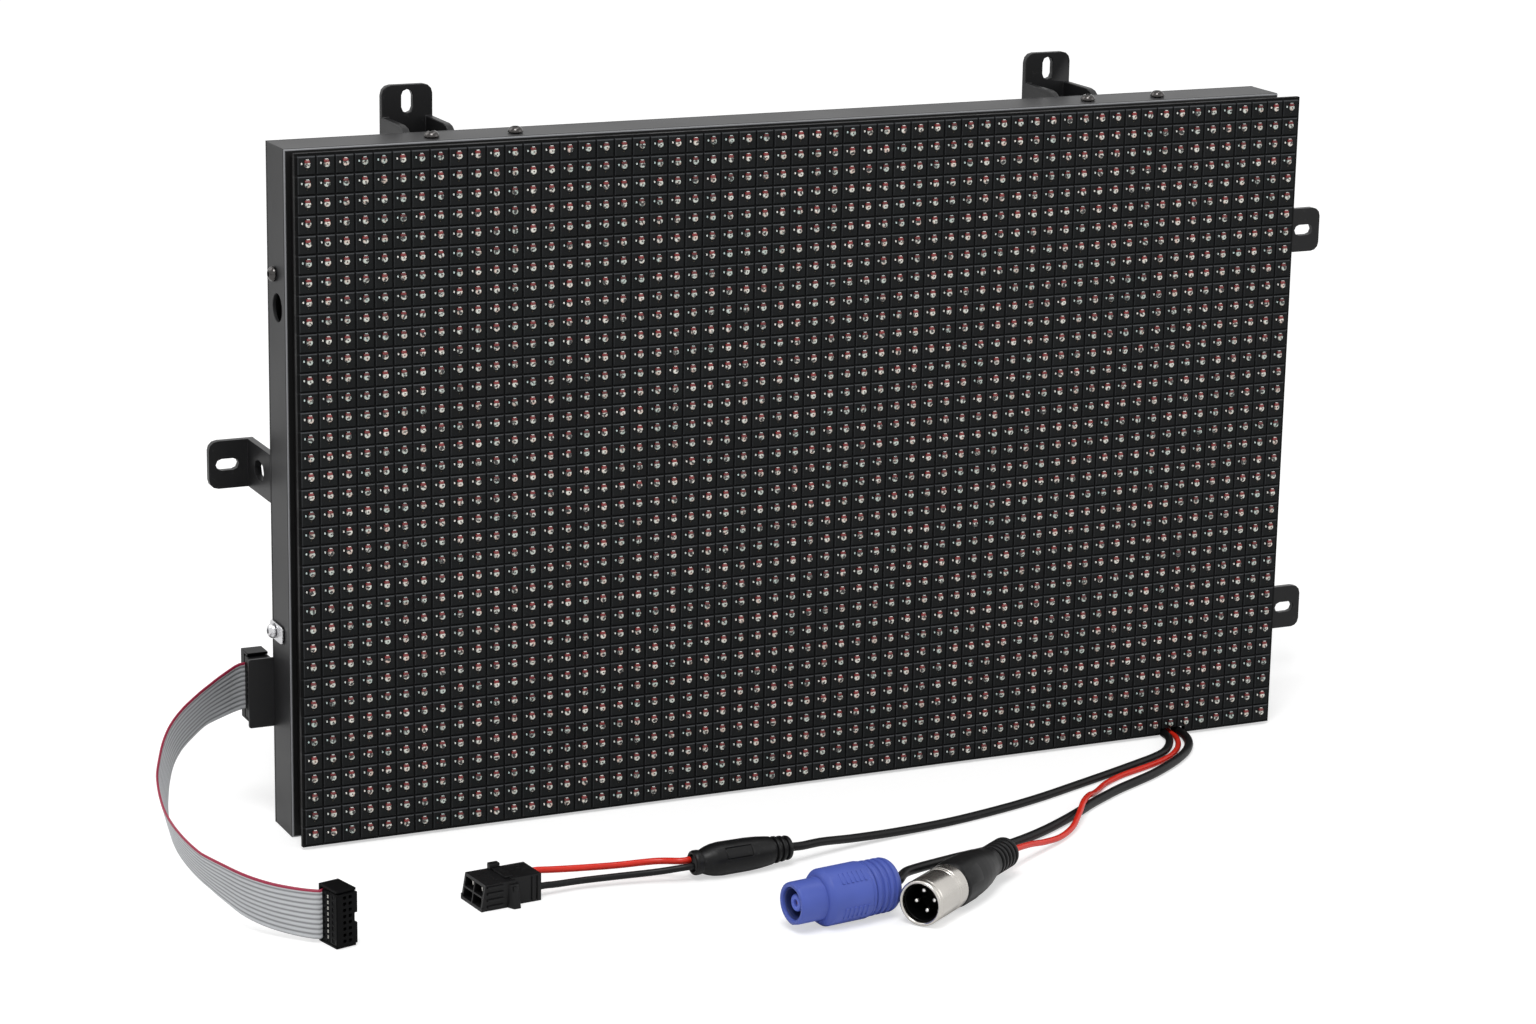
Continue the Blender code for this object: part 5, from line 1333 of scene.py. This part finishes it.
def metal_plug(settings):
    """The metal round plug: ribbed boot, bright shell with a rolled rim, lining and four pins."""
    nickel = plated_metal("nickel_shell", settings.plugs.nickel, 0.24, (0.2, 1, 1))
    bright = plated_metal("pin_plate", settings.plugs.pin, 0.16)
    pieces, add = plug_pieces(*SIGNAL_PLUG)
    boot, length, floor = 49.6, 73.6, 53.6
    face = floor + 6
    profile = [(0, 0), (0.8, 0), (0.8, 1.8), (0, 2.1), (0, 5.6), (0.5, 6.3), (1.3, 6.5)]
    profile += grooved((2.2, 5.1, 8.0, 10.9, 13.8), 6.5, 1.5, 1.3)
    profile += [(16.4, 6.5), (18.5, 6.75), (21.5, 7.5), (25, 8.35), (29, 9.0), (33, 9.4), (37, 9.6)]
    profile += [(47.6, 9.6)] + placed(boot, (-0.8, 9.3), (-0.3, 8.9), (-0.3, 0))
    bm = spun(profile, 0.35)
    for angle in (60, 150, 240, 330):
        inset(bm, around(bm, 38, 46, angle, 24), 0.8, -0.2, True)
    rubber = black_rubber(settings.leads)
    add("metal_plug_boot", bm, rubber, "cable_rubber", "signal_plug_boot")

    profile = placed(boot, (0, 0), (0, 8.9), (0.4, 9.35))
    profile += grooved((boot + 5.6, boot + 7.2), 9.4, 0.55, 0.28)
    profile += placed(length, (-3.2, 9.4), (-2.7, 9.25), (-2.2, 9.2), (-1.9, 9.4), (-1.2, 9.5))
    profile += placed(length, (-0.5, 9.4), (0, 9.0), (0, 8.5), (-0.4, 8.0), (-1.3, 7.9), (-1.8, 8.3))
    bm = spun(profile + placed(floor, (0, 8.3), (0, 0)), 0.25, 72)
    add("metal_plug_shell", bm, nickel, "nickel", "signal_plug_shell")

    profile = placed(floor, (0.3, 0), (0.3, 8.0))
    profile += placed(length, (-2.4, 8.15), (-2.2, 7.8), (-2.6, 7.5)) + placed(face, (0, 7.3), (0, 0))
    plastic = black_plastic(settings.plugs)
    add("metal_plug_lining", spun(profile, 0.3), plastic, "plug_plastic", "signal_plug_insert")
    tip = face + 0.3 + 9.5
    profile = placed(face, (0.3, 0), (0.3, 1.2))
    profile += placed(tip, (-1.2, 1.2), (-0.5, 1.05), (-0.1, 0.6), (0, 0))
    for i in range(PIN_COUNT):
        angle = 2 * pi * i / PIN_COUNT + PIN_TURN
        spot = (0, PIN_CIRCLE * cos(angle), PIN_CIRCLE * sin(angle))
        bm = moved(turned(in_metres(profile), 24), Matrix.Translation(spot))
        add(f"metal_plug_pin_{i + 1}", bm, bright, "nickel", f"signal_plug_pin_{i + 1}")
    return pieces


def splitter(settings):
    """The moulded joint where the round lead parts into two wires."""
    profile = [(0, 0), (0.8, 0), (0.8, 2.0), (0, 2.3), (0, 4.1), (0.5, 4.8), (1.3, 5.1), (2.0, 5.15)]
    profile += [(2.3, 4.0), (3.2, 4.0), (3.5, 5.3), (4.7, 5.4), (5.0, 4.2), (5.9, 4.2), (6.2, 5.55)]
    profile += [(7.4, 5.65), (7.7, 4.5), (8.6, 4.5), (8.9, 5.8), (11.5, 6.2), (15, 6.6), (19, 6.85)]
    profile += [(20, 6.9), (32, 7.0), (33, 6.95), (36, 6.6), (38.6, 5.9), (40.8, 5.0), (41.6, 4.8)]
    profile += [(42.0, 5.1), (43.9, 5.2), (44.8, 4.9), (45, 4.4), (45, 3.9), (44.4, 3.5), (43.6, 3.4)]
    bm = spun(profile + [(43.6, 0)], 0.35)
    field = around(bm, 20, 32, 55, 24)
    inset(bm, field, 0.35, 0.35, True)
    inset(bm, field, 0.5, -0.4)
    pieces, add = plug_pieces(*SPLITTER)
    add("splitter_joint", bm, black_rubber(settings.leads), "cable_rubber", "splitter_boot")
    return pieces


def two_way_plug(plugs):
    """The black plug: a framed mouth with four cavities, a latch lug, ribs and a tab on top."""
    half, tall, length, rear = 9, 11.5, 27.5, 13
    lug_height = 9.5 * MM

    def part(low, high, bevel=0.25):
        merged(bm, block(bmesh.new(), *in_mm(low, high), bevel * MM))

    outline = tuple(value * MM for value in (-half, 0, half, tall - 0.6))
    step = ((half - 0.9) * MM, (tall - 2.4) / 2 * MM)
    mouth = pocketed(2, 2, step, 3.9 * MM, 8.5 * MM, outline, (length - rear + 1) * MM)
    bm = moved(mouth, Matrix.Translation((length * MM, 0, 0)) @ turned_by(90, "Z"))
    for vert in bm.verts:
        if vert.co.x > (length - 3) * MM:
            vert.co.x -= 2 * MM * vert.co.z / (tall * MM)
    contacts = bmesh.new()
    for across in (-step[0] / 2, step[0] / 2):
        for up in (-step[1] / 2, step[1] / 2):
            spot = Vector(((length - 8) * MM, across, (tall - 0.6) / 2 * MM + up))
            reach = Vector((5.2, 0.5, 0.9)) * MM
            block(contacts, spot - Vector((0, reach.y, reach.z)), spot + reach, 0.15 * MM)
    part((0, 1.2 - half, 0), (rear + 0.5, half - 1.2, tall))
    part((length - 1.4, -half - 0.3, 0), (length, 0.6 - half, 2.4), 0.15)
    part((length - 1.4, half - 0.6, 0), (length, half + 0.3, 1.6), 0.15)
    part((rear - 1.5, -half, tall - 3), (rear + 3, 3 - half, tall + 2), 0.4)
    part((rear - 1, -half + 3.4, tall - 1), (rear + 2.4, half - 3.4, tall + 0.5), 0.3)
    root, tip = half - 2, half + 3.5
    wedge = in_metres(placed(rear, (-3, root), (4, root), (1.5, tip), (-1.5, tip)))
    lug = strip(wedge, "Z", 0, lug_height)
    for vert in lug.verts:
        if vert.co.y > half * MM:
            vert.co.y = half * MM + (vert.co.y - half * MM) * (1 - 0.7 * vert.co.z / lug_height)
    merged(bm, bevelled(lug, lug.edges, 0.3 * MM))
    part((rear - 0.6, half - 0.5, 7), (rear + 1.2, half + 2.2, 9))
    for low in (1.2, 3.9, 6.6, 9.2):
        part((rear + 4.6, half - 0.3, low), (length - 2.6, half + 0.8, low + 0.9), 0.2)
    for along in (1.2, 3.6):
        part((along, half - 1.4, 0.6), (along + 0.8, half - 0.7, tall - 0.6), 0.15)
    ribs = ((18, -4), (18, 0), (18, 4), (22, -3), (22, 3), (4, -3.5), (4, 0.5), (8, -1.5))
    for along, across in ribs:
        top = tall + (0.25 if along < rear else -0.35)
        part((along, across - 0.4, tall - 1.2), (along + 1.6, across + 0.4, top), 0.1)
    plastic = moulded_plastic("plug_housing", plugs.housing, 0.34)
    laid(bm, *TWO_WAY_PLUG)
    laid(contacts, *TWO_WAY_PLUG)
    plug = publish("two_way_plug", bm, plastic, ("dc_plug_housing",), "plug_plastic", 30)
    return [plug, publish("two_way_contacts", contacts, contact_metal(plugs), (), "nickel", 30)]


# Camera and stage

CAMERA_PLACE = (-0.72293, -1.52261, 0.55724)
CAMERA_RIGHT = (0.90751, -0.41966, 0.01738)
CAMERA_UP = (0.09111, 0.23710, 0.96720)
CAMERA_AHEAD = (0.41002, 0.87617, -0.25341)
CAMERA_LENS = 93.66
SENSOR_WIDTH = 36


def camera():
    """The photograph's view."""
    data = bpy.data.cameras.new("camera")
    data.lens = CAMERA_LENS
    data.sensor_width = SENSOR_WIDTH
    data.clip_end = 50
    eye = linked("camera", data)
    axes = Matrix((CAMERA_RIGHT, CAMERA_UP, -Vector(CAMERA_AHEAD))).transposed()
    eye.matrix_world = Matrix.Translation(CAMERA_PLACE) @ axes.to_4x4()
    bpy.context.scene.camera = eye


def lamp(name, place, target, size, power):
    """A large soft lamp that looks at a point."""
    data = bpy.data.lights.new(name, "AREA")
    data.shape = "RECTANGLE"
    data.size, data.size_y = size
    data.energy = power
    away = Vector(target) - Vector(place)
    aim = away.to_track_quat("-Z", "Y").to_matrix().to_4x4()
    linked(name, data).matrix_world = Matrix.Translation(place) @ aim


LAMPS = (
    ("key", (-0.7, -1.1, 2.3), (0, 0, 0.05), (1.1, 1.1)),
    ("strip", (0.1, -0.3, 1.7), (0, -0.15, 0), (1.7, 0.16)),
    ("rim", (-1.2, 0.9, 1.4), (0, 0, 0.15), (1.2, 1.2)),
    ("fill", (1.8, -1.2, 1.2), (0, 0, 0.1), (1.6, 1.2)),
)


def world(stage):
    """An even soft light, which the camera, mirrors and glass see as white."""
    made = bpy.data.worlds.new("studio")
    made.use_nodes = True
    made.node_tree.nodes.clear()
    sky = Nodes(made.node_tree)
    white = (1, 1, 1, 1)
    light = sky.node("ShaderNodeBackground", None, {"Color": white, "Strength": stage.soft_light})
    seen = sky.node("ShaderNodeBackground", None, {"Color": white})
    straight = sky.ray("Camera")
    for kind in ("Glossy", "Transmission"):
        straight = straight.math("MAXIMUM", sky.ray(kind))
    mix = sky.node("ShaderNodeMixShader", None, {0: straight, 1: light, 2: seen})
    sky.node("ShaderNodeOutputWorld", None, {"Surface": mix})
    bpy.context.scene.world = made


def floor_finish(stage):
    """Pale floor. The camera sees it lifted towards white, which leaves its shadows."""
    finish = Finish("floor", stage.floor, 0.85, specular_ior_level=0.1)
    finish.give("Base Color", finish.shades(finish.noise(3, 1) * 0.1, 0, 0.02))
    x, y, _ = finish.axes()
    away = ((x * x + y * y).math("SQRT") / stage.floor_radius * 4).clamped()
    lift = finish.blend(away, stage.glow_near, stage.glow_far)
    glow = finish.node("ShaderNodeEmission", None, {"Color": lift})
    paler = finish.node("ShaderNodeBsdfDiffuse", None, {"Color": (stage.shadow_share,) * 3 + (1,)})
    both = finish.node("ShaderNodeAddShader", None, {0: glow, 1: paler})
    plain = Value(finish, finish.shader.outputs[0])
    mix = finish.node("ShaderNodeMixShader", None, {0: finish.ray("Camera"), 1: plain, 2: both})
    finish.join(mix, finish.tree.nodes["Material Output"].inputs["Surface"])
    return finish.material


def floor(stage):
    """A wide round floor just below the leads."""
    bm = bmesh.new()
    place = Matrix.Translation((0, 0, -FLOOR_DROP))
    bmesh.ops.create_circle(bm, cap_ends=True, segments=96, radius=stage.floor_radius, matrix=place)
    solid("floor", bm, floor_finish(stage))


# Operators


class PanelSettings(bpy.types.PropertyGroup):
    tiles: PointerProperty(type=TileSettings, name="Tiles", description="Mask and LEDs")
    steel: PointerProperty(type=SteelSettings, name="Steel", description="Housing, brackets and screws")
    leads: PointerProperty(type=LeadSettings, name="Leads", description="Round leads and ribbon")
    plugs: PointerProperty(type=PlugSettings, name="Plugs", description="Plugs on the leads")
    stage: PointerProperty(type=StageSettings, name="Stage", description="Floor and light")


class LEDPANEL_OT_camera(bpy.types.Operator):
    """Adds the camera at the photograph's viewing angle"""

    bl_idname = "led_panel.camera"
    bl_label = "Camera"

    def execute(self, context):
        camera()
        return {"FINISHED"}


class LEDPANEL_OT_power_lead(bpy.types.Operator):
    """Adds the black lead with the blue plug"""

    bl_idname = "led_panel.power_lead"
    bl_label = "Power lead and blue plug"

    def execute(self, context):
        settings = context.scene.led_panel
        leads, plug = settings.leads, blue_plug(settings.plugs)
        rubber = black_rubber(leads)
        round_lead("power_lead", "power_cable", leads.power, rubber, "cable_rubber")
        return {"FINISHED"}


class LEDPANEL_OT_signal_lead(bpy.types.Operator):
    """Adds the red lead with the round metal plug"""

    bl_idname = "led_panel.signal_lead"
    bl_label = "Signal lead and metal plug"

    def execute(self, context):
        settings = context.scene.led_panel
        leads, plug = settings.leads, metal_plug(settings)
        red = red_sheath(leads)
        round_lead("signal_lead", "signal_cable", leads.signal, red, "red_sheath")
        return {"FINISHED"}


class LEDPANEL_OT_supply_lead(bpy.types.Operator):
    """Adds the black lead with the splitter, the two wires and the two-way plug"""

    bl_idname = "led_panel.supply_lead"
    bl_label = "Low voltage lead and two-way plug"

    def execute(self, context):
        settings = context.scene.led_panel
        leads, joint = settings.leads, splitter(settings)
        rubber, red = black_rubber(leads), red_sheath(leads)
        round_lead("supply_lead", "dc_cable", leads.supply, rubber, "cable_rubber")
        plug = two_way_plug(settings.plugs)
        round_lead("red_wire", "dc_wire_red", leads.wire, red, "red_sheath")
        round_lead("black_wire", "dc_wire_black", leads.wire, rubber, "cable_rubber")
        return {"FINISHED"}


class LEDPANEL_OT_ribbon(bpy.types.Operator):
    """Adds the ribbon with its plugs"""

    bl_idname = "led_panel.ribbon"
    bl_label = "Ribbon and its plugs"

    def execute(self, context):
        ribbon(context.scene.led_panel)
        return {"FINISHED"}


class LEDPANEL_OT_mask(bpy.types.Operator):
    """Adds the tile mask"""

    bl_idname = "led_panel.mask"
    bl_label = "Tile mask"

    def execute(self, context):
        tile_mask(context.scene.led_panel.tiles)
        return {"FINISHED"}


class LEDPANEL_OT_leds(bpy.types.Operator):
    """Adds the LED lenses and the marks on each tile"""

    bl_idname = "led_panel.leds"
    bl_label = "LEDs"

    def execute(self, context):
        tiles = context.scene.led_panel.tiles
        led_lenses(tiles)
        led_marks(tiles)
        return {"FINISHED"}


class LEDPANEL_OT_housing(bpy.types.Operator):
    """Adds the steel housing and its cover"""

    bl_idname = "led_panel.housing"
    bl_label = "Housing"

    def execute(self, context):
        housing(context.scene.led_panel.steel)
        return {"FINISHED"}


class LEDPANEL_OT_brackets(bpy.types.Operator):
    """Adds the five wall brackets"""

    bl_idname = "led_panel.brackets"
    bl_label = "Brackets"

    def execute(self, context):
        brackets(context.scene.led_panel.steel)
        return {"FINISHED"}


class LEDPANEL_OT_screws(bpy.types.Operator):
    """Adds the button-head screws"""

    bl_idname = "led_panel.screws"
    bl_label = "Screws"

    def execute(self, context):
        screws(context.scene.led_panel.steel)
        return {"FINISHED"}


class LEDPANEL_OT_earth(bpy.types.Operator):
    """Adds the earth tag and its screw"""

    bl_idname = "led_panel.earth"
    bl_label = "Earth tag"

    def execute(self, context):
        earth_point(context.scene.led_panel.steel)
        return {"FINISHED"}


class LEDPANEL_OT_inside(bpy.types.Operator):
    """Repaints the nodes inside and behind that keep their shape"""

    bl_idname = "led_panel.inside"
    bl_label = "Inside"

    def execute(self, context):
        inside(context.scene.led_panel)
        return {"FINISHED"}


class LEDPANEL_OT_stage(bpy.types.Operator):
    """Adds the floor, the soft light and the lamps"""

    bl_idname = "led_panel.stage"
    bl_label = "Stage"

    def execute(self, context):
        stage = context.scene.led_panel.stage
        floor(stage)
        world(stage)
        powers = (stage.key_light, stage.strip_light, stage.rim_light, stage.fill_light)
        for spot, power in zip(LAMPS, powers):
            lamp(*spot, power)
        context.scene.view_settings.view_transform = "Standard"
        return {"FINISHED"}


STEPS = (
    LEDPANEL_OT_camera,
    LEDPANEL_OT_power_lead,
    LEDPANEL_OT_signal_lead,
    LEDPANEL_OT_supply_lead,
    LEDPANEL_OT_ribbon,
    LEDPANEL_OT_mask,
    LEDPANEL_OT_leds,
    LEDPANEL_OT_housing,
    LEDPANEL_OT_brackets,
    LEDPANEL_OT_screws,
    LEDPANEL_OT_earth,
    LEDPANEL_OT_inside,
    LEDPANEL_OT_stage,
)


class LEDPANEL_PT_steps(bpy.types.Panel):
    """Lists the steps that build the dressed panel"""

    bl_idname = "LEDPANEL_PT_steps"
    bl_label = "LED matrix panel"
    bl_space_type = "VIEW_3D"
    bl_region_type = "UI"
    bl_category = "LED panel"

    def draw(self, context):
        for step in STEPS:
            self.layout.operator(step.bl_idname)


CLASSES = (
    TileSettings,
    SteelSettings,
    LeadSettings,
    PlugSettings,
    StageSettings,
    PanelSettings,
    *STEPS,
    LEDPANEL_PT_steps,
)


def register():
    for item in CLASSES:
        bpy.utils.register_class(item)
    settings = PointerProperty(type=PanelSettings, name="LED panel", description="All settings")
    bpy.types.Scene.led_panel = settings


def unregister():
    del bpy.types.Scene.led_panel
    for item in reversed(CLASSES):
        bpy.utils.unregister_class(item)


def main():
    register()
    bpy.ops.led_panel.camera()
    bpy.ops.led_panel.power_lead()
    bpy.ops.led_panel.signal_lead()
    bpy.ops.led_panel.supply_lead()
    bpy.ops.led_panel.ribbon()
    bpy.ops.led_panel.mask()
    bpy.ops.led_panel.leds()
    bpy.ops.led_panel.housing()
    bpy.ops.led_panel.brackets()
    bpy.ops.led_panel.screws()
    bpy.ops.led_panel.earth()
    bpy.ops.led_panel.inside()
    bpy.ops.led_panel.stage()


if __name__ == "__main__":
    main()
